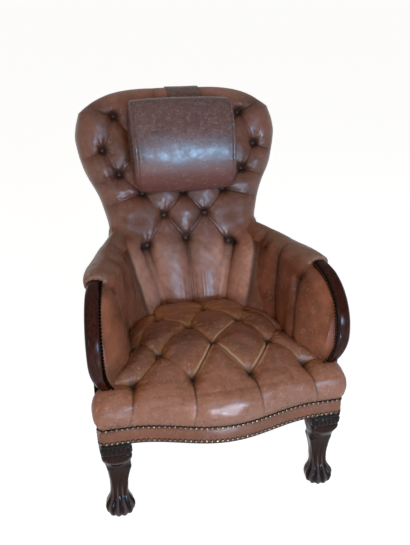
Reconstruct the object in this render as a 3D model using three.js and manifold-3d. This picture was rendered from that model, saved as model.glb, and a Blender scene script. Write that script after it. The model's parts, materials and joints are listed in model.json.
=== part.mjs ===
import * as THREE from "three";
import { mergeVertices } from "three/addons/utils/BufferGeometryUtils.js";
import Module from "manifold-3d";

const wasm = await Module();
wasm.setup();

// Driving dimensions in millimetres. The chair stands on z = 0 and faces -Y.
const GAP = 0.3;

// Seat frame
const SEAT_HALF = 326;
const REAR_HALF = 238;
const FRONT_Y = -341;
const FRAME_DEPTH = 449;
const FRONT_BOW = 50;
const BOW_HALF = 250;
const RAIL_BOTTOM = 236;
const RAIL_HEIGHT = 62;
const RAIL_THICK = 30;
const BAND_THICK = 3;
const BAND_HEIGHT = 48;
const CORNER_RADIUS = 14;

// Legs
const KNEE_HALF = 35;
const REAR_LEG_HALF = 25;
const REAR_LEG_SWEEP = 135;
const PAW_TOES = 4;
const LEG_LEAN = 9;

// Seat
const SEAT_CROWN = 151;
const SEAT_BULGE = 13;
const SEAT_PUFF = 27;
const SEAT_COLUMN = 75;
const SEAT_ROW = 70;
const SEAT_ROW_SETBACK = 50;
const SEAT_DEPTH = 408;
const SPRING_RISE = 100;
const SPRING_RADIUS = 38;
const SPRING_TURNS = 4;
const WIRE_RADIUS = 2.2;
const WEB_WIDTH = 50;
const WEB_PITCH_X = 112;
const SPRING_ROW_SHARE = 0.285;
const CLOTH = 2;

// Back, drawn on a plane that leans back from the rear rail
const BACK_LEAN = 18.3;
const BACK_COLUMN = 60;
const BACK_ROWS = [297, 376, 439, 502, 577, 668];
const BACK_FOLD = 62;
const BACK_PUFF = 26;
const BACK_EDGE = 13;
const BACK_ROUND = 62;
const BACK_SHOULDER = 687;
const BACK_CREST = 68;
const BACK_SIDE = [[14, 150], [128, 152], [260, 198], [330, 225], [366, 231], [439, 251], [519, 288],
  [604, 307], [646, 304], [687, 292]];
const POST_WIDTH = 34;
const POST_THICK = 26;
const SKIN = 7;

// Arms
const ARM_TOP = 638;
const ARM_ROLL = 58;
const ARM_SETBACK = 197;
const ARM_OVERHANG = 35;
const ARM_NOSE = 46;
const ARC_RADIUS = 152;
const ARC_DEPTH = 181;
const FACING_HALF = 20;
const FACING_THICK = 34;
const ARM_RAIL = 32;
const PANEL = 3;

// Trim
const NAIL_HEIGHT = 9;
const NAIL_PROUD = 3.4;
const BUTTON = 8.5;
const HEADREST = [300, 270, 94];
const HEADREST_RISE = 571;
const STRAP_WIDTH = 100;
const STRAP_OFFSET = 21;
const STRAP_DROP = 250;

const RAIL_TOP = RAIL_BOTTOM + RAIL_HEIGHT;
const BAND_TOP = RAIL_BOTTOM + BAND_HEIGHT;
const REAR_Y = FRONT_Y + FRAME_DEPTH;
const RAIL_INSET = BAND_THICK + GAP;
const LEG_X = SEAT_HALF - KNEE_HALF;
const LEG_Y = FRONT_Y + KNEE_HALF;
const BLOCK_HALF = KNEE_HALF - RAIL_INSET;
const REAR_LEG_Y = REAR_Y - RAIL_INSET - REAR_LEG_HALF;
const SPRING_TOP = RAIL_BOTTOM + SPRING_RISE;
const ARC_Z = ARM_TOP - 31 - ARC_RADIUS;
const ARC_Y = FRONT_Y + ARC_DEPTH;
const ARM_FRONT_Y = FRONT_Y + ARM_SETBACK;
const DEGREE = Math.PI / 180;

const material = (color, roughness, metalness = 0) =>
  new THREE.MeshStandardMaterial({ color, roughness, metalness });
const BEECH = material(0xb08a5c, 0.7);
const MAHOGANY = material(0x2e1710, 0.3);
const LEATHER = material(0x5c3a26, 0.45);
const LEATHER_DARK = material(0x4a2f20, 0.5);
const BRASS = material(0x8c6a34, 0.4, 1);
const STEEL = material(0x5a5a58, 0.45, 1);
const JUTE = material(0x9a7d50, 0.95);
const BLACK_CLOTH = material(0x1f1d1b, 0.95);

// Mesh building

function toSolid(points, faces) {
  const positions = [];
  for (const p of points) positions.push(p.x, p.y, p.z);
  const geometry = new THREE.BufferGeometry();
  geometry.setAttribute("position", new THREE.Float32BufferAttribute(positions, 3));
  geometry.setIndex(faces.flat());
  return fromGeometry(geometry);
}

function fromGeometry(source) {
  const bare = new THREE.BufferGeometry();
  bare.setAttribute("position", source.getAttribute("position"));
  if (source.index) bare.setIndex(source.index);
  const merged = mergeVertices(bare, 1e-4);
  const at = merged.getAttribute("position");
  const index = Array.from(merged.index.array);
  const kept = [];
  let volume = 0;
  for (let k = 0; k < index.length; k += 3) {
    const [i, j, l] = [index[k], index[k + 1], index[k + 2]];
    if (i === j || j === l || l === i) continue;
    const a = new THREE.Vector3().fromBufferAttribute(at, i);
    const b = new THREE.Vector3().fromBufferAttribute(at, j);
    const c = new THREE.Vector3().fromBufferAttribute(at, l);
    volume += a.dot(b.cross(c)) / 6;
    kept.push(i, j, l);
  }
  if (volume < 0) kept.reverse();
  return new wasm.Manifold(new wasm.Mesh({
    numProp: 3,
    vertProperties: new Float32Array(at.array),
    triVerts: new Uint32Array(kept),
  }));
}

function toGeometry(body) {
  const mesh = body.getMesh();
  const geometry = new THREE.BufferGeometry();
  geometry.setAttribute("position", new THREE.Float32BufferAttribute(mesh.vertProperties, 3));
  geometry.setIndex(Array.from(mesh.triVerts));
  return geometry;
}

// What is left of a body after others are cut out of it, without loose slivers
function cut(body, ...tools) {
  let result = body;
  for (const tool of tools) result = result.subtract(tool);
  return result.decompose().reduce((best, piece) => (piece.volume() > best.volume() ? piece : best));
}

const flip = (body) => body.mirror([1, 0, 0]);

function capFaces(loop) {
  const area = THREE.ShapeUtils.area(loop);
  return THREE.ShapeUtils.triangulateShape(loop, []).map(([a, b, c]) => {
    const turn = THREE.ShapeUtils.area([loop[a], loop[b], loop[c]]);
    return turn * area > 0 ? [a, b, c] : [a, c, b];
  });
}

// Closed body under a grid of points: the rim drops to a base loop that is closed round its middle.
// Each cell is split along its lower diagonal, so that folds run through as valleys.
function pillow(grid, toBase, lift) {
  const rows = grid.length;
  const columns = grid[0].length;
  const points = grid.flat();
  const faces = [];
  const id = (j, i) => j * columns + i;
  for (let j = 0; j + 1 < rows; j++) {
    for (let i = 0; i + 1 < columns; i++) {
      const [a, b, c, d] = [id(j, i), id(j, i + 1), id(j + 1, i + 1), id(j + 1, i)];
      const lean = lift(points[a]) + lift(points[c]) - lift(points[b]) - lift(points[d]);
      const first = Math.abs(lean) > 1e-6 ? lean < 0 : 2 * i + 1 < columns;
      if (first) faces.push([a, b, c], [a, c, d]);
      else faces.push([a, b, d], [b, c, d]);
    }
  }
  const rim = [];
  for (let i = 0; i + 1 < columns; i++) rim.push(id(0, i));
  for (let j = 0; j + 1 < rows; j++) rim.push(id(j, columns - 1));
  for (let i = columns - 1; i > 0; i--) rim.push(id(rows - 1, i));
  for (let j = rows - 1; j > 0; j--) rim.push(id(j, 0));
  const start = points.length;
  const base = rim.map((k) => toBase(points[k]));
  points.push(...base);
  rim.forEach((k, n) => {
    const next = (n + 1) % rim.length;
    faces.push([rim[next], k, start + n]);
    faces.push([rim[next], start + n, start + next]);
  });
  const middle = new THREE.Vector3();
  for (const p of base) middle.addScaledVector(p, 1 / base.length);
  points.push(middle);
  rim.forEach((_, n) => faces.push([start + n, points.length - 1, start + (n + 1) % rim.length]));
  return toSolid(points, faces);
}

// Closed sheet between two grids of points
function sheetBody(front, rear) {
  const rows = front.length;
  const columns = front[0].length;
  const points = [...front.flat(), ...rear.flat()];
  const half = rows * columns;
  const faces = [];
  const id = (j, i) => j * columns + i;
  const quad = (a, b, c, d) => faces.push([a, b, c], [a, c, d]);
  for (let j = 0; j + 1 < rows; j++) {
    for (let i = 0; i + 1 < columns; i++) {
      quad(id(j, i), id(j, i + 1), id(j + 1, i + 1), id(j + 1, i));
      quad(half + id(j, i), half + id(j + 1, i), half + id(j + 1, i + 1), half + id(j, i + 1));
    }
  }
  const edge = (a, b) => quad(b, a, half + a, half + b);
  for (let i = 0; i + 1 < columns; i++) {
    edge(id(0, i), id(0, i + 1));
    edge(id(rows - 1, i + 1), id(rows - 1, i));
  }
  for (let j = 0; j + 1 < rows; j++) {
    edge(id(j, columns - 1), id(j + 1, columns - 1));
    edge(id(j + 1, 0), id(j, 0));
  }
  return toSolid(points, faces);
}

// Closed body through a row of rings with the same number of points
function loft(rings, flatten) {
  const count = rings[0].length;
  const points = rings.flat();
  const faces = [];
  for (let k = 0; k + 1 < rings.length; k++) {
    for (let i = 0; i < count; i++) {
      const j = (i + 1) % count;
      const [low, high] = [k * count, (k + 1) * count];
      faces.push([low + i, low + j, high + j]);
      faces.push([low + i, high + j, high + i]);
    }
  }
  const last = (rings.length - 1) * count;
  const fan = [];
  for (let i = 1; i + 1 < count; i++) fan.push([0, i, i + 1]);
  const first = flatten ? capFaces(rings[0].map(flatten)) : fan;
  const end = flatten ? capFaces(rings[rings.length - 1].map(flatten)) : fan;
  for (const [a, b, c] of first) faces.push([a, c, b]);
  for (const [a, b, c] of end) faces.push([last + a, last + b, last + c]);
  return toSolid(points, faces);
}

function prism(outline, bottom, top) {
  const shape = new THREE.Shape(outline.map(([x, y]) => new THREE.Vector2(x, y)));
  const geometry = new THREE.ExtrudeGeometry(shape, { depth: top - bottom, bevelEnabled: false });
  return fromGeometry(geometry.translate(0, 0, bottom));
}

function block(low, high) {
  const size = high.map((value, k) => value - low[k]);
  const geometry = new THREE.BoxGeometry(...size);
  return fromGeometry(geometry.translate(...low.map((value, k) => value + size[k] / 2)));
}

// Smooth curve through [position, value] pairs
function curve(pairs) {
  const slope = (k) => {
    const a = pairs[Math.max(k - 1, 0)];
    const b = pairs[Math.min(k + 1, pairs.length - 1)];
    return (b[1] - a[1]) / (b[0] - a[0]);
  };
  return (at) => {
    const x = Math.min(Math.max(at, pairs[0][0]), pairs[pairs.length - 1][0]);
    let k = 0;
    while (k + 2 < pairs.length && x > pairs[k + 1][0]) k++;
    const step = pairs[k + 1][0] - pairs[k][0];
    const t = (x - pairs[k][0]) / step;
    const [p, q] = [pairs[k][1], pairs[k + 1][1]];
    return p + t * t * (3 - 2 * t) * (q - p)
      + t * (1 - t) * step * ((1 - t) * slope(k) - t * slope(k + 1));
  };
}

const range = (count) => Array.from({ length: count + 1 }, (_, k) => k / count);
const clamp = (value, low, high) => Math.min(Math.max(value, low), high);
const vector = (x, y, z) => new THREE.Vector3(x, y, z);

// Plan lines of the seat frame

function frontY(x) {
  const across = Math.min(Math.abs(x) / BOW_HALF, 1);
  return FRONT_Y - FRONT_BOW * 0.5 * (1 + Math.cos(Math.PI * across));
}

// The sides run straight back past the front legs, then draw in towards the rear legs
const SIDE_START = LEG_Y + BLOCK_HALF + GAP;
const SIDE_SLOPE = (SEAT_HALF - REAR_HALF) / (REAR_Y - SIDE_START);
const sideX = (y) => SEAT_HALF - SIDE_SLOPE * Math.max(y - SIDE_START, 0);
const bowSteps = (half) => {
  const steps = range(14).slice(1).map((t) => t * BOW_HALF).filter((x) => x < half - 1);
  return [-half, ...steps.slice().reverse().map((x) => -x), 0, ...steps, half];
};

// Outer line of the border band from the left rear leg round the front to the right one
function bandLine() {
  const half = range(14).map((t) => [t * BOW_HALF, frontY(t * BOW_HALF)]);
  half.push([SEAT_HALF - CORNER_RADIUS, FRONT_Y]);
  for (const t of range(4).slice(1)) {
    const angle = t * 90 * DEGREE;
    half.push([SEAT_HALF - CORNER_RADIUS * (1 - Math.sin(angle)),
      FRONT_Y + CORNER_RADIUS * (1 - Math.cos(angle))]);
  }
  half.push([SEAT_HALF, SIDE_START]);
  const rear = FRONT_Y + FRAME_DEPTH - 2 * REAR_LEG_HALF - 12;
  half.push([sideX(rear), rear]);
  const left = half.slice(1).reverse().map(([x, y]) => [-x, y]);
  return left.concat(half).map(([x, y]) => new THREE.Vector2(x, y));
}

const BAND_LINE = bandLine();

function outward(line, k) {
  const a = line[Math.max(k - 1, 0)];
  const b = line[Math.min(k + 1, line.length - 1)];
  const along = b.clone().sub(a).normalize();
  return new THREE.Vector2(along.y, -along.x);
}

function band() {
  const outer = BAND_LINE.map((p) => [p.x, p.y]);
  const inner = BAND_LINE.map((p, k) => p.clone().addScaledVector(outward(BAND_LINE, k), -BAND_THICK));
  return prism(outer.concat(inner.reverse().map((p) => [p.x, p.y])), RAIL_BOTTOM, BAND_TOP);
}

// Half-round section of a nail row: distance out from the leather and height
const NAIL_SECTION = [[0, -0.5], [0.7, -0.36], [1, 0], [0.7, 0.36], [0, 0.5]];

function bandNails(height) {
  const rings = BAND_LINE.map((p, k) => {
    const out = outward(BAND_LINE, k);
    return NAIL_SECTION.map(([proud, rise]) => {
      const q = p.clone().addScaledVector(out, GAP + proud * NAIL_PROUD);
      return vector(q.x, q.y, height + rise * NAIL_HEIGHT);
    });
  });
  return loft(rings);
}

// Seat frame rails

function frontRail(grow = 0) {
  const half = LEG_X - BLOCK_HALF - GAP;
  const outer = bowSteps(half).map((x) => [x, frontY(x) + RAIL_INSET - grow]);
  const inner = outer.map(([x, y]) => [x, y + RAIL_THICK + 2 * grow]).reverse();
  return prism(outer.concat(inner), RAIL_BOTTOM - grow, RAIL_TOP + grow);
}

const railSide = (y, depth) => sideX(y) - RAIL_INSET - depth;

function sideRail() {
  const near = SIDE_START;
  const far = REAR_LEG_Y - REAR_LEG_HALF - GAP;
  const outline = [[railSide(near, 0), near], [railSide(far, 0), far],
    [railSide(far, RAIL_THICK), far], [railSide(near, RAIL_THICK), near]];
  return prism(outline, RAIL_BOTTOM, RAIL_TOP);
}

const REAR_LEG_X = railSide(REAR_Y, 0) - REAR_LEG_HALF;

function backRail() {
  const half = REAR_LEG_X - REAR_LEG_HALF - GAP;
  const rear = REAR_Y - RAIL_INSET;
  return block([-half, rear - RAIL_THICK, RAIL_BOTTOM], [half, rear, RAIL_TOP]);
}

// Leather over the back rail, between the rear legs
function rearBand() {
  const half = REAR_LEG_X - REAR_LEG_HALF - GAP;
  return block([-half, REAR_Y - BAND_THICK, RAIL_BOTTOM], [half, REAR_Y, RAIL_TOP + 2]);
}

// Diagonal braces that close the corners of the seat frame on its inner side
function frontBrace() {
  const x = LEG_X - BLOCK_HALF - 40;
  const y = LEG_Y + BLOCK_HALF + 40;
  const onFront = (at) => [at, frontY(at) + RAIL_INSET + RAIL_THICK - 2];
  const onSide = (at) => [railSide(at, RAIL_THICK) - GAP, at];
  const outline = [onFront(x), onSide(y), onSide(y + 34), onFront(x - 34)];
  return cut(prism(outline, RAIL_BOTTOM + 12, RAIL_TOP - 12), frontRail(GAP));
}

function rearBrace() {
  const x = REAR_LEG_X - REAR_LEG_HALF - 34;
  const y = REAR_LEG_Y - REAR_LEG_HALF - 34;
  const rear = REAR_Y - RAIL_INSET - RAIL_THICK - GAP;
  const onSide = (at) => [railSide(at, RAIL_THICK) - GAP, at];
  const outline = [[x, rear], [x - 34, rear], onSide(y - 34), onSide(y)];
  return prism(outline, RAIL_BOTTOM + 12, RAIL_TOP - 12);
}

// Legs

function squareRing(x, y, z, half, power, count, shape = () => 1) {
  return range(count).slice(0, count).map((t) => {
    const angle = 2 * Math.PI * t;
    const [c, s] = [Math.cos(angle), Math.sin(angle)];
    const round = (Math.abs(c) ** power + Math.abs(s) ** power) ** (-1 / power);
    const reach = half * round * shape(angle);
    return vector(x + reach * c, y + reach * s, z);
  });
}

function frontLeg() {
  const ledge = RAIL_BOTTOM - GAP;
  const rise = ledge / 236;
  const toes = (depth) => (angle) => {
    const front = Math.max(-Math.sin(angle), 0);
    const ridge = Math.abs(Math.sin(PAW_TOES * (angle - Math.PI)));
    return 1 + depth * (ridge - 0.4) * Math.min(front * 3, 1);
  };
  const levels = [[0, 27, 2.2, -7, 0.14], [5, 32, 2.2, -8, 0.16], [18, 35, 2.3, -8, 0.16],
    [34, 35, 2.4, -7, 0.14], [50, 30, 2.5, -5, 0.1], [66, 24, 2.8, -2, 0.04], [84, 20, 3.5, 0, 0],
    [105, 18.5, 4, 0, 0], [135, 21.5, 5, 0, 0], [158, 25, 6, 0, 0], [166, 28, 6, 0, 0],
    [176, 32, 7, 0, 0], [210, 34, 9, 0, 0], [213, 32.5, 9, 0, 0], [217, 34.8, 9, 0, 0]];
  const rings = levels.map(([z, half, power, forward, toe]) =>
    squareRing(-LEG_LEAN * (1 - z / 236), forward, z * rise, half * KNEE_HALF / 35, power, 24, toes(toe)));
  rings.push(squareRing(0, 0, ledge, KNEE_HALF, 12, 24));
  rings.push(squareRing(0, 0, ledge, BLOCK_HALF, 5.5, 24));
  rings.push(squareRing(0, 0, RAIL_TOP, BLOCK_HALF, 5.5, 24));
  return loft(rings).translate([LEG_X, LEG_Y, 0]);
}

function rearLeg() {
  const ledge = RAIL_BOTTOM - GAP;
  const rings = range(7).map((t) => {
    const fall = 1 - t;
    const half = 17 + (REAR_LEG_HALF - 17) * t;
    const sweep = REAR_LEG_SWEEP * fall * fall;
    return squareRing(0, sweep, ledge * t, half, 8, 12);
  });
  rings.push(squareRing(0, 0, RAIL_TOP, REAR_LEG_HALF, 30, 12));
  return loft(rings).translate([REAR_LEG_X, REAR_LEG_Y, 0]);
}

// Show-wood arm front: an arc seen from the side, standing on the side rail by a straight foot

const ARC_START = 100;
const ARC_END = 212;
const FACING_SECTION = [[-1, -0.5], [1, -0.5], [1, 0.12], [0.75, 0.38], [0.3, 0.5],
  [-0.3, 0.5], [-0.75, 0.38], [-1, 0.12]];

function facingX(angle) {
  const turn = angle - 163;
  return SEAT_HALF - 5 - 0.006 * turn * turn;
}

function facingPoint(angle, side, reach) {
  const radius = ARC_RADIUS + reach;
  return vector(facingX(angle) + side, ARC_Y + radius * Math.cos(angle * DEGREE),
    ARC_Z + radius * Math.sin(angle * DEGREE));
}

function armFront(grow = 0) {
  const rings = range(13).map((t) => {
    const angle = ARC_START + t * (ARC_END - ARC_START);
    const slim = 1 - 0.25 * Math.max(0, 4 * t - 3) - 0.15 * Math.max(0, 1 - 5 * t);
    return FACING_SECTION.map(([side, reach]) => facingPoint(angle, side * (FACING_HALF * slim + grow),
      reach * (FACING_THICK * slim + 2 * grow)));
  });
  const foot = facingPoint(ARC_END, 0, 0);
  const drop = foot.z - RAIL_TOP - GAP;
  const y = foot.y + drop * Math.tan(ARC_END * DEGREE);
  const x = railSide(y, RAIL_THICK / 2);
  rings.push(FACING_SECTION.map(([side, reach]) =>
    vector(x + side * (RAIL_THICK / 2 + grow), y - reach * (RAIL_THICK + 2 * grow), RAIL_TOP + GAP - grow)));
  if (grow) rings.unshift(rings[0].map((p) => p.clone().add(vector(0, grow, 0))));
  return loft(rings);
}

function armNails() {
  const rings = range(12).map((t) => {
    const angle = ARC_START + 10 + t * (ARC_END - ARC_START - 22);
    return NAIL_SECTION.map(([proud, rise]) =>
      facingPoint(angle, -FACING_HALF - GAP - proud * NAIL_PROUD, 9 + rise * NAIL_HEIGHT));
  });
  return loft(rings);
}

// Arm pad: a hooked section carried from the arm front to the back

// The roll overhangs the side of the seat frame and draws in to it towards the back
function armOuterX(y) {
  const back = y - ARM_FRONT_Y;
  if (back < 0) return sideX(ARM_FRONT_Y) + ARM_OVERHANG - 0.05 * back;
  const line = sideX(y) + ARM_OVERHANG + 0.0104 * back - 0.00038 * back * back;
  return Math.max(line, REAR_HALF - 6);
}

const armSeatDepth = curve([[-310, 36], [-285, 46], [-205, 106], [-100, 104], [-20, 118], [40, 137],
  [100, 120], [190, 95]].map(([y, depth]) => [y + 341 + FRONT_Y, depth]));
const armTopDepth = curve([[-310, 36], [-230, 50], [-187, 62], [-100, 88], [-48, 86], [47, 66],
  [120, 56], [190, 46]].map(([y, depth]) => [y + 341 + FRONT_Y, depth]));

// Soft folds of the inside arm: 0 in a fold, 1 on the fullness between two folds
function armFlute(y, rise) {
  const first = FRONT_Y + 134 + 22 * rise;
  const pitch = 123 + 14 * rise;
  const at = (y - first) / pitch;
  if (at < 0) return clamp(-at * 2.2, 0, 1) ** 0.6;
  return Math.abs(Math.sin(Math.PI * at)) ** 0.6;
}

function armInnerX(y, z) {
  const seat = RAIL_TOP + 122;
  const rise = clamp((z - seat) / (ARM_TOP - 18 - seat), 0, 1);
  const depth = armSeatDepth(y) + (armTopDepth(y) - armSeatDepth(y)) * rise;
  const swell = 6 * Math.sin(Math.PI * rise) * clamp((y - FRONT_Y - 70) / 60, 0, 1);
  const soft = clamp((y - FRONT_Y - 60) / 60, 0, 1);
  return armOuterX(y) - depth - swell - soft * (11 * armFlute(y, rise) - 6);
}

function armFrontY(z) {
  const up = clamp(z - ARC_Z, -ARC_RADIUS * 0.53, ARC_RADIUS * 0.94);
  const arc = ARC_Y - Math.sqrt(ARC_RADIUS * ARC_RADIUS - up * up);
  return Math.min(arc, ARM_FRONT_Y - 44);
}

const rearPlaneY = (z) => REAR_Y - RAIL_INSET - 2 + (z - RAIL_TOP) * Math.tan(BACK_LEAN * DEGREE);

function armPad() {
  const underside = ARM_TOP - ARM_ROLL;
  const inside = [RAIL_TOP + 22, RAIL_TOP + 82, RAIL_TOP + 122, RAIL_TOP + 162, RAIL_TOP + 202,
    ARM_TOP - 98, ARM_TOP - 62, ARM_TOP - 34];
  const rings = range(20).map((t) => {
    const place = (z, share, shift = 0) => {
      const front = armFrontY(z);
      const y = front + (rearPlaneY(z) - 8 - front) * t;
      const near = 1 - clamp((y - front) / ARM_NOSE, 0, 1);
      const nose = 1 - Math.sqrt(1 - near * near);
      const inner = armInnerX(y, z);
      const outer = armOuterX(y) - 0.3 * ARM_NOSE * nose;
      const top = z - nose * 0.5 * Math.max(z - underside, 0);
      return vector(inner + share * (outer - inner) + shift, y, top);
    };
    const wall = (z) => {
      const p = place(z, 0);
      return Math.min(42, armOuterX(p.y) - p.x - 30, sideX(p.y) - p.x - PANEL - 3);
    };
    const low = inside[0];
    const dip = 5 * Math.sin(Math.PI * t);
    return [...inside.map((z) => place(z, 0)),
      place(ARM_TOP - 17, 0.11), place(ARM_TOP - 4 - dip, 0.32), place(ARM_TOP - dip, 0.55),
      place(ARM_TOP - 4 - dip, 0.77), place(ARM_TOP - 17, 0.94), place(ARM_TOP - 35, 1),
      place(underside + 8, 1, -5), place(underside, 1, -12),
      place(underside, 0, wall(underside)), place(low, 0, wall(low))];
  });
  return loft(rings, (p) => new THREE.Vector2(p.x, p.z));
}

function armRail(grow = 0) {
  const half = ARM_RAIL / 2 + grow;
  const middle = ARM_TOP - ARM_ROLL;
  const [near, far] = [ARC_Y - 30 - grow, rearPlaneY(middle) - POST_THICK + grow];
  const rings = range(8).map((t) => {
    const y = near + t * (far - near);
    const x = armOuterX(y) - 34 - ARM_RAIL / 2;
    return [[-half, -half], [half, -half], [half, half], [-half, half]].map(([a, b]) =>
      vector(x + a, y, middle + b));
  });
  return loft(rings);
}

// Outside arm: a leather sheet from the border band up to the underside of the roll
function outsideArm() {
  const low = BAND_TOP + GAP;
  const high = ARM_TOP - ARM_ROLL - 3;
  const sheet = (depth) => range(5).map((v) => range(7).map((u) => {
    const z = low + v * (high - low);
    const front = armFrontY(z) + FACING_THICK / 2 + 4;
    const rear = rearPlaneY(z) - 1;
    const y = front + u * (rear - front);
    const lower = sideX(y);
    const upper = Math.min(armOuterX(y) - 12, sideX(y) + 6);
    return vector(lower + (upper - lower) * v - depth, y, z);
  }));
  return sheetBody(sheet(-GAP), sheet(PANEL - GAP));
}

// Buttoning: 0 along the folds between buttons, 1 in the middle of each diamond
function diamond(column, row) {
  const a = Math.sin(Math.PI * (column + row) / 2);
  const b = Math.sin(Math.PI * (column - row) / 2);
  return Math.sqrt(Math.abs(a * b));
}

// Seat pad

const SEAT_ROWS = 4;
const SEAT_FRONT_ROW = FRONT_Y + SEAT_ROW_SETBACK;
const SEAT_REAR = FRONT_Y + SEAT_DEPTH;

const seatColumn = (y) => SEAT_COLUMN * (1 - 0.00095 * clamp(y - SEAT_FRONT_ROW, 0, 400));

function seatPuff(x, y) {
  const row = clamp((y - SEAT_FRONT_ROW) / SEAT_ROW, 0, SEAT_ROWS);
  return diamond(x / seatColumn(y) + 1, row);
}

const seatRise = curve([[0, 86], [50, 103], [100, 128], [150, 145], [220, 151], [330, 148], [408, 142]]
  .map(([back, rise]) => [back * SEAT_DEPTH / 408, rise * SEAT_CROWN / 151]));

function seatTop(x, y) {
  const across = x / SEAT_HALF;
  const back = Math.max(y - frontY(x) * 0.5 - FRONT_Y * 0.5, 0);
  const inside = clamp((seatSide(y) - Math.abs(x)) / 70, 0, 1);
  const edge = clamp((y - SEAT_FRONT_ROW) / 60, 0, 1) * 34 * (1 - inside) ** 2;
  const rear = 22 * clamp(1 - (SEAT_REAR - y) / 70, 0, 1) ** 2;
  const fold = BAND_TOP + seatRise(back) * (1 - 0.16 * across * across) - edge - rear;
  return fold + SEAT_PUFF * (seatPuff(x, y) - 0.35);
}

const seatSide = curve([[0, 326], [44, 326], [72, 292], [141, 243], [241, 226], [321, 190], [381, 152],
  [449, 140]].map(([back, half]) => [FRONT_Y + back, half * SEAT_HALF / 326]));

// Upright part of the seat edge: distance in from the edge line, share of the bulge, share of the height
const SEAT_WALL = [[0, 0, 0], [1, 0.8, 0.22], [2.5, 1.15, 0.46], [5, 1.08, 0.7], [10, 0.6, 0.88], [19, 0, 0.97]];

// Plan of the seat between the arms; in front of the arms it runs out to the full width
function seatPlan(grow) {
  const right = [[SEAT_HALF + 60, FRONT_Y - 200], [SEAT_HALF + 60, FRONT_Y + 44]];
  for (const back of [50, 60, 75, 110, 141, 191, 241, 281, 321, 351, 381, 420]) {
    right.push([seatSide(FRONT_Y + back) + grow, FRONT_Y + back]);
  }
  const left = right.slice().reverse().map(([x, y]) => [-x, y]);
  return prism([...right, ...left], RAIL_BOTTOM, RAIL_TOP + 400);
}

function seatPad(grow = 0) {
  const wall = SEAT_WALL.map(([inset, bulge, share]) => ({ inset, bulge, share }));
  const rows = [...wall, { inset: 34 }, { inset: SEAT_ROW_SETBACK }];
  for (let at = SEAT_ROW_SETBACK + SEAT_ROW / 2; at < SEAT_DEPTH - 4; at += SEAT_ROW / 2) rows.push({ inset: at });
  rows.push({ inset: SEAT_DEPTH + grow }, { inset: SEAT_DEPTH + grow + 2, share: 0 });
  const columns = wall.map((step) => ({ side: -1, ...step }));
  for (let k = -8; k <= 8; k++) columns.push({ at: k / 2 });
  for (const step of wall.slice().reverse()) columns.push({ side: 1, ...step });
  const grid = rows.map((row) => columns.map((column) => {
    const [rowShare, columnShare] = [row.share ?? 1, column.share ?? 1];
    const blend = clamp(1 - row.inset / SEAT_ROW_SETBACK / 2, 0, 1);
    const edge = FRONT_Y + row.inset - (row.inset < 19 ? grow : 0);
    const pitch = seatColumn(edge);
    const sideOut = SEAT_BULGE * (column.bulge ?? 0) * Math.sqrt(rowShare);
    const frontOut = SEAT_BULGE * (row.bulge ?? 0) * Math.sqrt(columnShare);
    const half = 4 * pitch + SEAT_HALF - 4 * SEAT_COLUMN + grow;
    const x = column.side ? column.side * (half - column.inset + sideOut) : column.at * pitch;
    const y = edge - frontOut + (frontY(x) - FRONT_Y) * blend;
    const share = rowShare * columnShare;
    const height = (seatTop(x, y) - BAND_TOP) * share;
    return roundCorner(vector(x, y, BAND_TOP + GAP + 1 + height + (share > 0 ? grow : 0)));
  }));
  const body = pillow(grid, (p) => vector(p.x, p.y, BAND_TOP + GAP), (p) => p.z);
  return body.intersect(seatPlan(grow));
}

// Pulls the front corners of the seat in to the corner radius of the frame
function roundCorner(p) {
  const cx = SEAT_HALF - CORNER_RADIUS;
  const cy = FRONT_Y + CORNER_RADIUS;
  const [dx, dy] = [Math.abs(p.x) - cx, cy - p.y];
  if (dx <= 0 || dy <= 0) return p;
  const scale = Math.max(dx, dy) / Math.hypot(dx, dy);
  return vector(Math.sign(p.x) * (cx + dx * scale), cy - dy * scale, p.z);
}

const SPRING_NEAR = FRONT_Y + 62;

function springSpace() {
  const [near, far] = [SPRING_NEAR, SEAT_REAR - 12];
  const right = [near, 0.6 * near + 0.4 * far, 0.25 * near + 0.75 * far, far].map((y) =>
    [Math.min(seatSide(y) - 12, railSide(y, 60)), y]);
  const outline = [...right, ...right.slice().reverse().map(([x, y]) => [-x, y])];
  return { outline, top: SPRING_TOP + CLOTH + 2 * GAP };
}

// Buttons sit in the folds where four diamonds meet
function dome(center, normal, radius) {
  const geometry = new THREE.SphereGeometry(radius, 5, 3);
  geometry.scale(1, 1, 0.8);
  const turn = new THREE.Quaternion().setFromUnitVectors(vector(0, 0, 1), normal);
  geometry.applyQuaternion(turn);
  return fromGeometry(geometry.translate(center.x, center.y, center.z));
}

function seatButtons() {
  const spots = [];
  for (let row = 0; row < SEAT_ROWS; row++) {
    const y = SEAT_FRONT_ROW + row * SEAT_ROW;
    for (const column of row % 2 ? [-2, 0, 2] : [-3, -1, 1, 3]) {
      const x = column * seatColumn(y);
      if (Math.abs(x) < seatSide(y) - 22) spots.push(vector(x, y, seatTop(x, y) + 2));
    }
  }
  return spots.map((spot) => dome(spot, vector(0, -0.25, 1).normalize(), BUTTON));
}

// Seat support

function webbing() {
  const [low, high] = [RAIL_BOTTOM - GAP - CLOTH, RAIL_BOTTOM - GAP];
  const half = WEB_WIDTH / 2;
  let lattice = null;
  const join = (strip) => { lattice = lattice ? lattice.add(strip) : strip; };
  for (const column of [-1, 0, 1]) {
    const x = column * WEB_PITCH_X;
    join(block([x - half, frontY(x) + RAIL_INSET + 12, low], [x + half, REAR_Y - RAIL_INSET - 8, high]));
  }
  for (const row of [-1, 0, 1]) {
    const y = webRow(row);
    const reach = railSide(y + half, 8);
    join(block([-reach, y - half, low], [reach, y + half, high]));
  }
  return lattice;
}

// The three rows of springs share out the length of the spring space
function webRow(row) {
  const [near, far] = [SPRING_NEAR, SEAT_REAR - 12];
  return (near + far) / 2 + row * SPRING_ROW_SHARE * (far - near);
}

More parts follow.
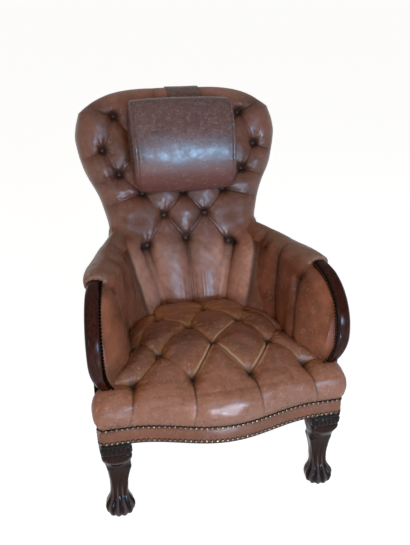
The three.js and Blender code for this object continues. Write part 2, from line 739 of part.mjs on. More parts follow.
class CoilCurve extends THREE.Curve {
  getPoint(t, target = new THREE.Vector3()) {
    const angle = 2 * Math.PI * SPRING_TURNS * t;
    const waist = 1 - 0.32 * Math.sin(Math.PI * t);
    const low = RAIL_BOTTOM + 1.2 * WIRE_RADIUS;
    const high = SPRING_TOP - 1.2 * WIRE_RADIUS;
    const radius = SPRING_RADIUS * waist;
    return target.set(radius * Math.cos(angle), radius * Math.sin(angle), low + t * (high - low));
  }
}

function spring(column, row) {
  const section = new THREE.Shape([0, 1, 2, 3].map((k) =>
    new THREE.Vector2(WIRE_RADIUS * Math.cos(k * Math.PI / 2), WIRE_RADIUS * Math.sin(k * Math.PI / 2))));
  const geometry = new THREE.ExtrudeGeometry(section,
    { steps: 7 * SPRING_TURNS, extrudePath: new CoilCurve() });
  return fromGeometry(geometry).translate([column * WEB_PITCH_X, webRow(row), 0]);
}

function hessian() {
  const { outline } = springSpace();
  const middle = FRONT_Y + FRAME_DEPTH / 2;
  const inset = outline.map(([x, y]) => [x - Math.sign(x) * 2, y + 2 * Math.sign(middle - y)]);
  return prism(inset, SPRING_TOP + GAP, SPRING_TOP + GAP + CLOTH);
}

function dustCover() {
  const top = RAIL_BOTTOM - CLOTH - 2 * GAP;
  const [near, far] = [LEG_Y + KNEE_HALF + 3, REAR_LEG_Y - REAR_LEG_HALF - 3];
  const inner = LEG_X - KNEE_HALF - 3;
  const rearInner = REAR_LEG_X - REAR_LEG_HALF - 3;
  const right = [[railSide(near, 5), near], [railSide(far, 5), far], [rearInner, far],
    [rearInner, REAR_Y - RAIL_INSET - 5]];
  const left = right.slice().reverse().map(([x, y]) => [-x, y]);
  const front = range(10).map((t) => (2 * t - 1) * inner).map((x) => [x, frontY(x) + RAIL_INSET + 6]);
  const outline = [[-inner, near], ...front, [inner, near], ...right, ...left];
  return prism(outline, top - CLOTH, top);
}

// Back, in its own leaning plane: x across, s up the plane, n out of it towards the sitter

const LEAN = new THREE.Matrix4().makeRotationX(-BACK_LEAN * DEGREE)
  .setPosition(0, REAR_Y - RAIL_INSET - 2, RAIL_TOP);
const onPlane = (x, s, n) => vector(x, -n, s);
const backSide = curve(BACK_SIDE);
const backTop = (u) => BACK_SHOULDER + BACK_CREST * (1 - u ** 4);
const BACK_FOOT = BACK_SIDE[0][0];
const CREST_HALF = backSide(BACK_SHOULDER);

function backRow(s) {
  let k = 0;
  while (k + 2 < BACK_ROWS.length && s > BACK_ROWS[k + 1]) k++;
  const step = BACK_ROWS[k + 1] - BACK_ROWS[k];
  return clamp(k + (s - BACK_ROWS[k]) / step, 0, BACK_ROWS.length - 1);
}

// The flutes below the lowest row draw together towards the seat
const backGather = (s) => 1 - 0.37 * clamp((BACK_ROWS[0] - s) / (BACK_ROWS[0] - 128), 0, 1);
const backPuff = (x, s) => diamond(x / (BACK_COLUMN * backGather(s)), backRow(s));

function backHeight(x, s, rim) {
  const round = 1 - clamp(rim / BACK_ROUND, 0, 1);
  const shoulder = Math.sqrt(1 - round * round);
  const fall = clamp((BACK_ROWS[0] - s) / (BACK_ROWS[0] - BACK_FOOT), 0, 1);
  const level = BACK_FOLD - 12 * fall - BACK_EDGE;
  return BACK_EDGE + shoulder * (level + BACK_PUFF * (backPuff(x, s) - 0.1) * Math.min(rim / 30, 1));
}

function backRim(x, s) {
  const side = backSide(s) - Math.abs(x);
  const top = backTop(x / CREST_HALF) - s;
  return Math.max(Math.min(side, top), 0);
}

// Rows and columns follow the buttons, so that every fold lies along the grid
function backPad(grow = 0) {
  const last = BACK_ROWS.length - 1;
  const rows = range(5).slice(0, 5).map((t) => ({ s: BACK_FOOT + t * (BACK_ROWS[0] - BACK_FOOT) }));
  BACK_ROWS.forEach((s, k) => {
    rows.push({ s });
    if (k < last) rows.push({ s: (s + BACK_ROWS[k + 1]) / 2 });
  });
  for (const t of [0.35, 0.65, 0.85, 0.96, 1]) rows.push({ s: BACK_ROWS[last], top: t });
  const columns = [];
  for (const t of [1, 0.96, 0.85, 0.68, 0.5, 0.25]) columns.push({ side: -1, t });
  for (let k = -6; k <= 6; k++) columns.push({ at: k / 2 });
  for (const t of [0.25, 0.5, 0.68, 0.85, 0.96, 1]) columns.push({ side: 1, t });
  const grid = rows.map(({ s, top = 0 }) => columns.map(({ side, t, at }) => {
    const level = s + top * (BACK_SHOULDER - s);
    const inner = 3 * BACK_COLUMN * backGather(s);
    const x = side ? side * (inner + t * (backSide(level) - inner)) : at * BACK_COLUMN * backGather(s);
    const high = top ? s + top * (backTop(x / CREST_HALF) - s) : s;
    const height = backHeight(x, high, backRim(x, high));
    const spare = s === BACK_FOOT ? -2 * grow : Math.sign(top) * grow;
    return onPlane(x + grow * Math.sign(x), high + spare, height + grow);
  }));
  return pillow(grid, (p) => onPlane(p.x * 0.99, p.z * 0.998, GAP - grow), (p) => -p.y);
}

function backButtons() {
  const spots = [];
  const reach = [2, 1, 2, 3, 4, 3];
  BACK_ROWS.forEach((s, row) => {
    for (let column = -reach[row]; column <= reach[row]; column += 2) {
      const x = column * BACK_COLUMN;
      spots.push(onPlane(x, s, backHeight(x, s, 200) + 2));
    }
  });
  return spots.map((spot) => dome(spot, vector(0, -1, 0), BUTTON));
}

const postX = (s) => Math.max(backSide(s), s < BACK_SIDE[4][0] ? REAR_LEG_X : 0) - SKIN - POST_WIDTH / 2;

function backPost(grow = 0) {
  const rings = range(14).map((t) => {
    const s = 0.5 - grow + t * (BACK_SHOULDER - 12 + 2 * grow);
    const x = postX(s);
    const half = POST_WIDTH / 2 + grow;
    const [low, high] = [GAP - grow, GAP + POST_THICK + grow];
    return [[-half, low], [half, low], [half, high], [-half, high]].map(([a, n]) => onPlane(x + a, s, n));
  });
  return loft(rings);
}

function crestRail(grow = 0) {
  const half = CREST_HALF - SKIN - 2 + grow;
  const rings = range(14).map((t) => {
    const x = (2 * t - 1) * half;
    const s = backTop(x / CREST_HALF) - SKIN - 22;
    const [low, high] = [GAP - grow, GAP + POST_THICK + grow];
    const tall = 20 + grow;
    return [[-tall, low], [tall, low], [tall, high], [-tall, high]].map(([a, n]) => onPlane(x, s + a, n));
  });
  return loft(rings);
}

function stayRail(grow = 0) {
  const s = 150;
  const half = postX(s) - POST_WIDTH / 2 - GAP + grow;
  const tall = 18 + grow;
  const [low, high] = [GAP - grow, GAP + POST_THICK + grow];
  const rings = [-half, half].map((x) => [[-tall, low], [tall, low], [tall, high], [-tall, high]]
    .map(([a, n]) => onPlane(x, s + a, n)));
  return loft(rings);
}

function backWebbing(grow = 0) {
  const [low, high] = [POST_THICK + 2 * GAP - grow, POST_THICK + 2 * GAP + CLOTH + grow];
  const strip = (x0, x1, s0, s1) => loft([x0, x1].map((x) => [[s0, low], [s1, low], [s1, high], [s0, high]]
    .map(([s, n]) => onPlane(x, s, n))));
  let lattice = null;
  const join = (piece) => { lattice = lattice ? lattice.add(piece) : piece; };
  for (const column of [-1, 0, 1]) {
    const x = column * 95;
    join(strip(x - WEB_WIDTH / 2 - grow, x + WEB_WIDTH / 2 + grow, 140 - grow, BACK_SHOULDER + 34 + grow));
  }
  for (const s of [235, 400, 545]) {
    const half = postX(s) + POST_WIDTH / 2 - 12 + grow;
    join(strip(-half, half, s - WEB_WIDTH / 2 - grow, s + WEB_WIDTH / 2 + grow));
  }
  return lattice;
}

// Space behind the back webbing, between posts and rails
function backSpace() {
  const deep = POST_THICK + 3 * GAP + CLOTH;
  const rings = range(10).map((t) => {
    const s = 168 + t * (BACK_SHOULDER - 60 - 168);
    const half = Math.min(postX(s), backSide(s) - 10) - 6;
    return [[-half, -5], [half, -5], [half, deep], [-half, deep]].map(([x, n]) => onPlane(x, s, n));
  });
  return loft(rings);
}

function outsideBack() {
  const right = range(16).map((t) => {
    const s = 6 + t * (BACK_SHOULDER - 6);
    const half = s < BACK_SIDE[4][0] ? Math.max(backSide(s), REAR_HALF - 7) : backSide(s);
    return [half - SKIN, s];
  });
  const top = range(12).slice(1, 12).map((t) =>
    [(1 - 2 * t) * (CREST_HALF - SKIN), backTop(1 - 2 * t) - SKIN - 2]);
  const left = right.slice().reverse().map(([x, s]) => [-x, s]);
  const outline = [...right, ...top, ...left];
  const sheet = prism(outline, 0, PANEL);
  return sheet.rotate([90, 0, 0]).translate([0, PANEL, 0]);
}

// Headrest cushion hung in front of the back by a strap over the crest

function headrest() {
  const [width, height, thick] = HEADREST;
  const rear = BACK_FOLD + 0.9 * BACK_PUFF + GAP;
  const rings = range(8).map((t) => {
    const across = 2 * t - 1;
    const plump = 0.92 + 0.08 * Math.sqrt(1 - across * across);
    return range(18).slice(0, 18).map((k) => {
      const angle = 2 * Math.PI * k;
      const [c, s] = [Math.cos(angle), Math.sin(angle)];
      const up = Math.sign(s) * Math.abs(s) ** 0.75 * plump * height / 2;
      const swell = c > 0 ? c ** 0.8 * (1 - 0.18 * s) * thick * 0.72 : -((-c) ** 0.4) * thick * 0.28;
      return onPlane(across * width / 2, HEADREST_RISE + up, rear + 0.28 * thick + plump * swell);
    });
  });
  return loft(rings);
}

const STRAP_REAR = -PANEL - 11;

function strap(grow = 0) {
  const crest = backTop(0);
  const thick = PANEL + 2 * grow;
  const middle = [];
  const front = BACK_FOLD + 40;
  const top = crest + 5;
  middle.push([HEADREST_RISE + HEADREST[1] / 2 - 26 - grow, front]);
  middle.push([HEADREST_RISE + HEADREST[1] / 2 + 4, front - 8]);
  middle.push([crest - 6, front - 34]);
  for (const t of range(6)) {
    const angle = Math.PI * (0.25 + 0.75 * t);
    middle.push([crest - 30 + (top - crest + 30) * Math.sin(angle), 22 + (22 - STRAP_REAR) * Math.cos(angle)]);
  }
  middle.push([crest - STRAP_DROP / 2, STRAP_REAR]);
  middle.push([crest - STRAP_DROP - grow, STRAP_REAR]);
  const half = STRAP_WIDTH / 2 + grow;
  const rings = middle.map(([s, n], k) => {
    const a = middle[Math.max(k - 1, 0)];
    const b = middle[Math.min(k + 1, middle.length - 1)];
    const length = Math.hypot(b[0] - a[0], b[1] - a[1]);
    const [ns, nn] = [(b[1] - a[1]) / length, -(b[0] - a[0]) / length];
    return [[-half, -0.5], [half, -0.5], [half, 0.5], [-half, 0.5]].map(([x, side]) =>
      onPlane(STRAP_OFFSET + x, s + ns * side * thick, n + nn * side * thick));
  });
  return loft(rings);
}

function pouch() {
  const low = backTop(0) - STRAP_DROP;
  const rings = range(6).map((t) => {
    const across = 2 * t - 1;
    const plump = 0.75 + 0.25 * Math.sqrt(1 - across * across);
    return range(12).slice(0, 12).map((k) => {
      const angle = 2 * Math.PI * k;
      const soft = (value) => Math.sign(value) * Math.abs(value) ** 0.7;
      const s = low - GAP - 46 + plump * 46 * soft(Math.sin(angle));
      const n = STRAP_REAR + plump * (-STRAP_REAR - PANEL - GAP) * soft(Math.cos(angle));
      return onPlane(STRAP_OFFSET + across * 75, s, n);
    });
  });
  return loft(rings);
}

// Assembly

const lean = (body) => body.transform(LEAN.elements);
const chair = new THREE.Group();
chair.name = "library_chair";

function group(name, matrix = new THREE.Matrix4()) {
  const made = new THREE.Group();
  made.name = name;
  made.applyMatrix4(matrix);
  chair.add(made);
  return made;
}

const frameGroup = group("frame");
const supportGroup = group("support");
const coverGroup = group("upholstery");
const backGroup = group("back", LEAN);

function add(parent, name, body, look) {
  parent.updateMatrix();
  const geometry = toGeometry(body).applyMatrix4(parent.matrix.clone().invert());
  geometry.computeVertexNormals();
  const mesh = new THREE.Mesh(geometry, look);
  mesh.name = name;
  parent.add(mesh);
}

const pair = (name, body) => [[`left_${name}`, flip(body)], [`right_${name}`, body]];

function addPair(parent, name, body, look) {
  for (const [label, piece] of pair(name, body)) add(parent, label, piece, look);
}

// Frame
const facing = armFront();
const facingSpace = armFront(GAP);
const post = cut(lean(backPost()), lean(crestRail(GAP)));
const postSpace = lean(backPost(GAP));
const crest = lean(crestRail());
const crestSpace = lean(crestRail(GAP));
const rail = cut(armRail(), facingSpace, postSpace);
const railSpace = armRail(GAP);

add(frameGroup, "front_seat_rail", frontRail(), BEECH);
add(frameGroup, "back_seat_rail", backRail(), BEECH);
addPair(frameGroup, "seat_rail", sideRail(), BEECH);
addPair(frameGroup, "front_brace", frontBrace(), BEECH);
addPair(frameGroup, "rear_brace", rearBrace(), BEECH);
addPair(frameGroup, "front_leg", frontLeg(), MAHOGANY);
addPair(frameGroup, "rear_leg", rearLeg(), MAHOGANY);
addPair(frameGroup, "arm_front", facing, MAHOGANY);
addPair(frameGroup, "arm_rail", rail, BEECH);
addPair(backGroup, "back_post", post, BEECH);
add(backGroup, "crest_rail", crest, BEECH);
add(backGroup, "stay_rail", lean(stayRail()), BEECH);

// Seat support
const SPACE = springSpace();
add(supportGroup, "seat_webbing", webbing(), JUTE);
add(supportGroup, "spring_hessian", hessian(), JUTE);
add(supportGroup, "dust_cover", dustCover(), BLACK_CLOTH);
[-1, 0, 1].forEach((row, j) => [-1, 0, 1].forEach((column, i) => {
  add(supportGroup, `spring_${j + 1}${i + 1}`, spring(column, row), STEEL);
}));

// Upholstery
const both = (body) => body.add(flip(body));
const rearDeck = block([-REAR_HALF, LEG_Y, RAIL_BOTTOM], [REAR_HALF, REAR_Y + 50, RAIL_TOP + GAP]);
const railCore = prism(BAND_LINE.map((p, k) => p.clone().addScaledVector(outward(BAND_LINE, k), -BAND_THICK))
  .map((p) => [p.x, p.y]), RAIL_BOTTOM, RAIL_TOP + GAP);
const springRoom = prism(SPACE.outline, RAIL_BOTTOM, SPACE.top);
const seatRaw = seatPad();
let seat = cut(seatRaw, railCore, rearDeck, springRoom, both(facingSpace));
for (const button of seatButtons()) seat = seat.add(button);
add(coverGroup, "seat_pad", seat, LEATHER);

const seatRoom = seatPad(GAP);
const stayRoom = lean(stayRail(GAP));
const backWeb = lean(backWebbing(GAP));
let back = cut(lean(backPad()), both(postSpace), crestSpace, stayRoom, lean(backSpace()), backWeb,
  both(railSpace), seatRoom, rearDeck, springRoom);
for (const button of backButtons()) back = back.add(lean(button));
add(backGroup, "back_pad", back, LEATHER);
add(backGroup, "back_webbing", lean(backWebbing()), JUTE);
add(backGroup, "outside_back", lean(outsideBack()), LEATHER_DARK);

const backRoom = lean(backPad(GAP));
const arm = cut(armPad(), facingSpace, railSpace, postSpace, stayRoom, backWeb, seatRoom, backRoom, railCore);
addPair(coverGroup, "arm_pad", arm, LEATHER);
const panel = cut(outsideArm(), facingSpace, backRoom, seatRoom, postSpace);
addPair(coverGroup, "outside_arm", panel, LEATHER_DARK);

// Trim
add(coverGroup, "border_band", band(), LEATHER_DARK);
add(coverGroup, "rear_band", rearBand(), LEATHER_DARK);
add(coverGroup, "upper_nail_row", bandNails(BAND_TOP - NAIL_HEIGHT / 2), BRASS);
add(coverGroup, "lower_nail_row", bandNails(RAIL_BOTTOM + NAIL_HEIGHT / 2), BRASS);
addPair(coverGroup, "arm_nail_row", cut(armNails(), arm.translate([-GAP, 0, 0]), arm.translate([0, -GAP, 0])),
  BRASS);

const pillowRest = cut(lean(headrest()), lean(strap(GAP)));
add(backGroup, "headrest_cushion", pillowRest, LEATHER);
add(backGroup, "headrest_strap", cut(lean(strap()), backRoom), LEATHER_DARK);
add(backGroup, "headrest_pouch", lean(pouch()), LEATHER_DARK);

// Stand the chair on the floor with the middle of its plan at the origin
chair.updateMatrixWorld(true);
const extent = new THREE.Box3().setFromObject(chair, true);
chair.position.y = -(extent.min.y + extent.max.y) / 2;

export default chair;
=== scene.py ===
import json
import math

import bmesh
import bpy
import numpy as np
from mathutils import Matrix, Vector


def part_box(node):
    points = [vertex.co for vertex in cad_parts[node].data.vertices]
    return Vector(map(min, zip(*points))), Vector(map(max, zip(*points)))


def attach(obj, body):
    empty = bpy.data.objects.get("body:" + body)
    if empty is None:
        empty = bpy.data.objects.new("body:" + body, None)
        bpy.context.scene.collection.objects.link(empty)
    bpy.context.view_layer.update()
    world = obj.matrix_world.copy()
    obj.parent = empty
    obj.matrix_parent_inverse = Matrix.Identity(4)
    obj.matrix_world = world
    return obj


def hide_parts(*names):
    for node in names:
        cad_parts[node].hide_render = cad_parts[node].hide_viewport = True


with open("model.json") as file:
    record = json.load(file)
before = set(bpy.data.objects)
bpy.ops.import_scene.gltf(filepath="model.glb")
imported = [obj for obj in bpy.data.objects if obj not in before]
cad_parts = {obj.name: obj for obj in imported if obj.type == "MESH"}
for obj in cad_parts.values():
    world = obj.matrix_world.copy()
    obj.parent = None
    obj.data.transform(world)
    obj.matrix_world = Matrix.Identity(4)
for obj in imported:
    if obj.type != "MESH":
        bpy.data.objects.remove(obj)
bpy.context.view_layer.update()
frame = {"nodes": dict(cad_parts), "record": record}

# Main sizes of the chair in millimetres, with a few angles, on its own centre line, facing -Y
SEAT_HALF = 326
REAR_HALF = 238
FRONT_Y = -341
REAR_Y = 108
FRONT_BOW = 50
BOW_HALF = 250
RAIL_BOTTOM = 236
RAIL_TOP = 298
BAND_TOP = 284
RAIL_INSET = 3.3
CORNER_RADIUS = 14
SEAT_DEPTH = 408
SEAT_REAR = FRONT_Y + SEAT_DEPTH
SIDE_START = -273.7
FRONT_RAIL_Y = -387.7
BACK_LEAN = math.radians(18.3)
BACK_PLANE_Y = REAR_Y - RAIL_INSET - 2
BACK_FOOT = 14
BACK_FOLD = 62
BACK_SHOULDER = 687
BACK_CREST = 68
BACK_ROUND = 62
BACK_EDGE = 13
SKIN = 7
ARM_TOP = 638
ARM_ROLL = 58
ARM_OVERHANG = 35
ARM_FRONT_Y = -144
ARC_RADIUS = 152
ARC_Y = -160
ARC_Z = 455
ARC_START = 91
ARC_END = 212
FACING_HALF = 20
FACING_THICK = 34
LEG_X = 291
LEG_Y = -306
REAR_LEG_X = 209.7
REAR_LEG_Y = 79.7
REAR_LEG_SWEEP = 135
HEADREST_RISE = 571
STRAP_OFFSET = 21
STRAP_DROP = 250
LEATHER_THICK = 2.6
BUTTON_RISE = 3.6

# The frame has the middle of the plan at its origin, so the chair's own lines move along Y by this much
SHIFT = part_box("front_seat_rail")[0].y * 1000 - FRONT_RAIL_Y
TO_FRAME = Matrix.Scale(0.001, 4) @ Matrix.Translation((0, SHIFT, 0))


# Drawing helpers

def curve(*pairs):
    """Smooth curve through (position, value) pairs, held level past its ends."""
    at, value = np.array(pairs, float).T
    slope = np.gradient(value, at)
    slope[1:-1] = (value[2:] - value[:-2]) / (at[2:] - at[:-2])

    def read(x):
        x = np.clip(x, at[0], at[-1])
        k = np.clip(np.searchsorted(at, x, side="right") - 1, 0, len(at) - 2)
        step = at[k + 1] - at[k]
        t = (x - at[k]) / step
        rise = value[k + 1] - value[k]
        bend = (1 - t) * slope[k] - t * slope[k + 1]
        return value[k] + t * t * (3 - 2 * t) * rise + t * (1 - t) * step * bend

    return read


def ease(low, high, x):
    """0 below low, 1 above high, with a soft start and end."""
    t = np.clip((x - low) / (high - low), 0, 1)
    return t * t * (3 - 2 * t)


def bell(x, middle, width):
    """1 in the middle, falling off softly to 0 on both sides."""
    return np.exp(-((x - middle) / width) ** 2)


def around(u):
    """Cosine and sine of the share u of a full turn."""
    return np.cos(2 * math.pi * u), np.sin(2 * math.pi * u)


def squared(c, s, power):
    """Reach of a rounded square of half width 1 in the direction (c, s); a higher power has sharper corners."""
    return (np.abs(c) ** power + np.abs(s) ** power) ** (-1 / power)


def signed(x, power):
    """The power of a number's size, with the number's sign."""
    return np.sign(x) * np.abs(x) ** power


def stuffed(u, v):
    """Swell of a stuffed panel: 0 along its edges and 1 in the middle."""
    return np.sin(math.pi * u) ** 0.5 * np.sin(math.pi * v) ** 0.5


def hemmed(u, v, width):
    """1 along the edges of a panel, fading out inside."""
    return 1 - ease(0.0, width, np.sqrt(np.clip(np.minimum(u, 1 - u) * np.minimum(v, 1 - v) * 4, 0, 1)))


def ripple(x, y, size, turn=0.0):
    """Gentle unevenness of hand-laid stuffing, about -1 to 1, with waves of the given size."""
    a = x * math.cos(turn) + y * math.sin(turn)
    b = y * math.cos(turn) - x * math.sin(turn)
    k = 2 * math.pi / size
    return (np.sin(k * a + 1.3 * np.sin(0.61 * k * b + 0.7)) + np.sin(0.83 * k * b + 1.1 * np.sin(0.47 * k * a))
            + 0.5 * np.sin(1.71 * k * (a + 0.6 * b) + 2.1)) / 2.5


def normals(base, u, v):
    """Outward direction of a surface base(u, v)."""
    step = 0.002
    along = base(np.clip(u + step, 0, 1), v) - base(np.clip(u - step, 0, 1), v)
    across = base(u, np.clip(v + step, 0, 1)) - base(u, np.clip(v - step, 0, 1))
    out = np.cross(along, across)
    return out / np.maximum(np.linalg.norm(out, axis=1), 1e-9)[:, None]


def stack(x, y, z):
    """Points from their coordinates."""
    return np.stack(np.broadcast_arrays(*np.atleast_1d(x, y, z)), 1).astype(float)


def leaning(x, s, n):
    """Point of the back: x across, s up its leaning plane, n out of the plane towards the sitter."""
    c, k = math.cos(BACK_LEAN), math.sin(BACK_LEAN)
    return stack(x, BACK_PLANE_Y + s * k - n * c, RAIL_TOP + s * c + n * k)


def fold(start, end, width, mid=0.5, out=0.0, bow=0.0):
    """A fold of the leather from a button to another button or to an edge, as four short pieces.

    It is deepest at its buttons. From 0 to 1, mid lifts its floor half way and out lifts it towards its end.
    Its sideways curve is bow.
    """
    (ax, ay), (bx, by) = start, end
    length = math.hypot(bx - ax, by - ay)
    sx, sy = (by - ay) / length * bow, (ax - bx) / length * bow
    at = [(ax + (bx - ax) * t + sx * 4 * t * (1 - t), ay + (by - ay) * t + sy * 4 * t * (1 - t))
          for t in (0, 0.25, 0.5, 0.75, 1)]
    return [(*at[k], *at[k + 1], width, k / 4, mid, out) for k in range(4)]


def off_folds(x, y, folds):
    """Share of the way along each piece of some folds, distance from it, and distance to its right hand side."""
    ax, ay, bx, by = np.array(folds, float).T[:4]
    dx, dy = bx - ax, by - ay
    length = np.hypot(dx, dy)
    px, py = x[:, None] - ax, y[:, None] - ay
    t = np.clip((px * dx + py * dy) / length ** 2, 0, 1)
    return t, np.hypot(px - t * dx, py - t * dy), (px * dy - py * dx) / length


# Marks that folds and buttons leave, in millimetres, and the power by which the nearest fold counts most
LINE_WIDTH = 2.4
LIP_OFF = 6.5
LIP_WIDTH = 2.8
PIT_WIDTH = 13
GATHER_REACH = 19
GATHER_START = 9
NEAREST_POWER = 6


def tufting(x, y, folds, buttons):
    """Stuffing drawn down by folds and buttons.

    Gives the fullness from 0 at the bottom of a button's pit to 1 clear of the folds, the thin line of each fold,
    the rolled lip beside it, the pit of the nearest button, and the gathers round the buttons.
    """
    width, first, mid, out = np.array(folds, float).T[4:]
    t, away, side = off_folds(x, y, folds)
    along = first + t / 4
    rise = mid * np.sin(math.pi * along) + out * along ** 2
    weight = (away / width + 0.05) ** -NEAREST_POWER
    near = np.clip(weight.sum(1) ** (-1 / NEAREST_POWER) - 0.03, 0, 1)
    slope = 1 - (1 - near) ** 2
    floor = (weight * rise).sum(1) / weight.sum(1)
    full = slope + (1 - slope) * floor
    firm = np.clip(1.15 - rise, 0, 1)
    line = (bell(away, 0, LINE_WIDTH) * firm ** 2).max(1)
    lip = (bell(side, LIP_OFF, LIP_WIDTH) * (away < 12) * firm * np.sin(math.pi * along)).max(1)
    pit = np.zeros_like(x)
    gather = np.zeros_like(x)
    for k, (cx, cy) in enumerate(buttons):
        far = np.hypot(x - cx, y - cy)
        angle = np.arctan2(y - cy, x - cx)
        pit = np.maximum(pit, bell(far, 0, PIT_WIDTH))
        wave = np.cos((9 + k % 4) * angle + 1.7 * k) + 0.6 * np.cos((14 + k % 3) * angle + 0.6 * k)
        gather += np.exp(-far / GATHER_REACH) * (1 - bell(far, 0, GATHER_START)) * wave
    return full, line, lip, pit, gather


# Mesh helpers

def drawn(columns, rows, place, marks=("fold", "wear", "line")):
    """A grid drawn into shape by place(u, v), which also gives its marks of use."""
    bm = bmesh.new()
    bmesh.ops.create_grid(bm, x_segments=columns, y_segments=rows, size=0.5)
    at = np.array([vert.co for vert in bm.verts])
    points, values = place(at[:, 0] + 0.5, at[:, 1] + 0.5)
    layers = [bm.verts.layers.float.new(name) for name in marks]
    for k, vert in enumerate(bm.verts):
        vert.co = points[k]
        for layer, value in zip(layers, values):
            vert[layer] = value[k]
    return bm


def turned(columns, rows, place):
    """A grid drawn round a piece, closed along its seam and at both ends."""
    bm = drawn(columns, rows, place)
    bmesh.ops.remove_doubles(bm, verts=bm.verts, dist=0.01)
    bmesh.ops.holes_fill(bm, edges=open_rim(bm), sides=0)
    outward(bm)
    return bm


def panel(columns, rows, place, thick):
    """A sheet of leather or cloth of the given thickness, with its good side where place(u, v) draws it."""
    bm = drawn(columns, rows, place)
    bmesh.ops.solidify(bm, geom=bm.faces[:], thickness=thick)
    outward(bm)
    return bm


def studs(spots, radius, height, segments=8):
    """Domed heads at (point, direction) spots, their wear mark rising to the crown; on the brass nails it also
    paints a glint.
    """
    bm = bmesh.new()
    layer = bm.verts.layers.float.new("wear")
    for point, direction in spots:
        direction = Vector(direction).normalized()
        spin = Vector((0, 0, 1)).rotation_difference(direction).to_matrix().to_4x4()
        shape = Matrix.Translation(point) @ spin @ Matrix.Diagonal((radius, radius, height, 1))
        made = bmesh.ops.create_uvsphere(bm, u_segments=segments, v_segments=segments // 2, radius=1,
                                          matrix=shape)
        for vert in made["verts"]:
            vert[layer] = max(0.0, (vert.co - Vector(point)).dot(direction) / height)
    return bm


def button_spots(bm, spots, plan):
    """Where buttons sit on a finished cover: the nearest point in its plan, and the way the cover faces there."""
    bm.normal_update()
    points = np.array([vert.co for vert in bm.verts])
    ways = np.array([vert.normal for vert in bm.verts])
    a, b = plan(points)
    found = []
    for x, y in spots:
        far = np.hypot(a - x, b - y)
        shown = (far < 26) & (points[:, 2] > BAND_TOP + 30)
        k = np.argmin(np.where(shown, far, 1e9))
        way = Vector(ways[shown].mean(0)).normalized()
        found.append((Vector(points[k]) + way * 1.5, way))
    return found


def open_rim(bm):
    """Edges with a face on one side only."""
    return [edge for edge in bm.edges if edge.is_boundary]


def drawn_on(bm):
    """New points along the open rim, joined to it by faces."""
    made = bmesh.ops.extrude_edge_only(bm, edges=open_rim(bm))["geom"]
    return [g for g in made if isinstance(g, bmesh.types.BMVert)]


def close_behind(bm, move):
    """Closes a cover behind: its rim runs on to move(point) and then in to one middle point."""
    for vert in drawn_on(bm):
        vert.co = move(vert.co)
    inner = drawn_on(bm)
    middle = sum((vert.co for vert in inner), Vector()) / len(inner)
    bmesh.ops.pointmerge(bm, verts=inner, merge_co=middle)


def outward(bm):
    """Joins doubled points and turns every face outward."""
    bmesh.ops.remove_doubles(bm, verts=bm.verts, dist=0.01)
    bmesh.ops.recalc_face_normals(bm, faces=bm.faces)


def placed(name, data):
    """An object of the scene from its mesh, lamp or camera."""
    made = bpy.data.objects.new(name, data)
    bpy.context.scene.collection.objects.link(made)
    return made


def meshed(bm, name, finish):
    """An object of the scene from what was drawn, with its finish."""
    mesh = bpy.data.meshes.new(name)
    bm.to_mesh(mesh)
    bm.free()
    mesh.materials.append(finish)
    return placed(name, mesh)


def finished(bm, name, finish, replaces=()):
    """The piece as an object of the frame, riding on the chair."""
    bmesh.ops.transform(bm, matrix=TO_FRAME, verts=bm.verts)
    for face in bm.faces:
        face.smooth = True
    piece = meshed(bm, name, finish)
    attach(piece, "root")
    if replaces:
        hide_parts(*replaces)


def flipped(bm):
    """The same shape for the other side of the chair."""
    other = bm.copy()
    bmesh.ops.scale(other, vec=(-1, 1, 1), verts=other.verts)
    bmesh.ops.reverse_faces(other, faces=other.faces)
    return other


def on_both_sides(bm, stem, finish, node=None):
    """The piece as drawn on the right and its mirror image on the left; names of nodes come without a side."""
    for side, shape in (("left_", flipped(bm)), ("right_", bm)):
        nodes = (side + node,) if node else ()
        finished(shape, side + stem, finish, nodes)


# Materials

def srgb(code):
    """Linear colour of an sRGB hex code."""
    parts = [int(code[k:k + 2], 16) / 255 for k in (1, 3, 5)]
    return [c / 12.92 if c <= 0.04045 else ((c + 0.055) / 1.055) ** 2.4 for c in parts] + [1]


def add(tree, kind, sockets=None, **settings):
    """Adds a node with its settings; a socket gets a value or the output that is linked to it."""
    node = tree.nodes.new("ShaderNode" + kind)
    for name, value in settings.items():
        setattr(node, name, value)
    for name, value in (sockets or {}).items():
        if isinstance(value, bpy.types.NodeSocket):
            tree.links.new(value, node.inputs[name])
        else:
            node.inputs[name].default_value = value
    return node


def blank(name):
    """A material with an empty node tree."""
    material = bpy.data.materials.new(name)
    material.use_nodes = True
    tree = material.node_tree
    tree.nodes.clear()
    return material, tree


def begun(name):
    """A material with an empty node tree, and the place on the piece that its patterns follow."""
    material, tree = blank(name)
    return material, tree, add(tree, "TexCoord").outputs["Object"]


def per_mm(size):
    """Texture scale for a pattern whose features are that many millimetres across."""
    return 1000 / size


def noise(tree, at, size, detail, rough=0.5):
    """Outputs of a cloudy pattern whose features are that many millimetres across."""
    sockets = {"Vector": at, "Scale": per_mm(size), "Detail": detail, "Roughness": rough}
    return add(tree, "TexNoise", sockets).outputs


def ranged(tree, value, low, high, to_low=0.0, to_high=1.0):
    """The value with low to high brought to to_low to to_high, and held level past both."""
    sockets = {"Value": value, "From Min": low, "From Max": high, "To Min": to_low, "To Max": to_high}
    return add(tree, "MapRange", sockets).outputs[0]


def maths(tree, operation, *values):
    """Output of one step of arithmetic."""
    return add(tree, "Math", dict(enumerate(values)), operation=operation).outputs[0]


def mixed(tree, share, under, over):
    """Colour that the share takes from under to over, each a hex code or an output."""
    under, over = (srgb(color) if isinstance(color, str) else color for color in (under, over))
    return add(tree, "Mix", {0: share, 6: under, 7: over}, data_type="RGBA").outputs[2]


def mark(tree, name):
    """The marks of use of that name, as drawn into the mesh."""
    return add(tree, "Attribute", attribute_name=name).outputs["Fac"]


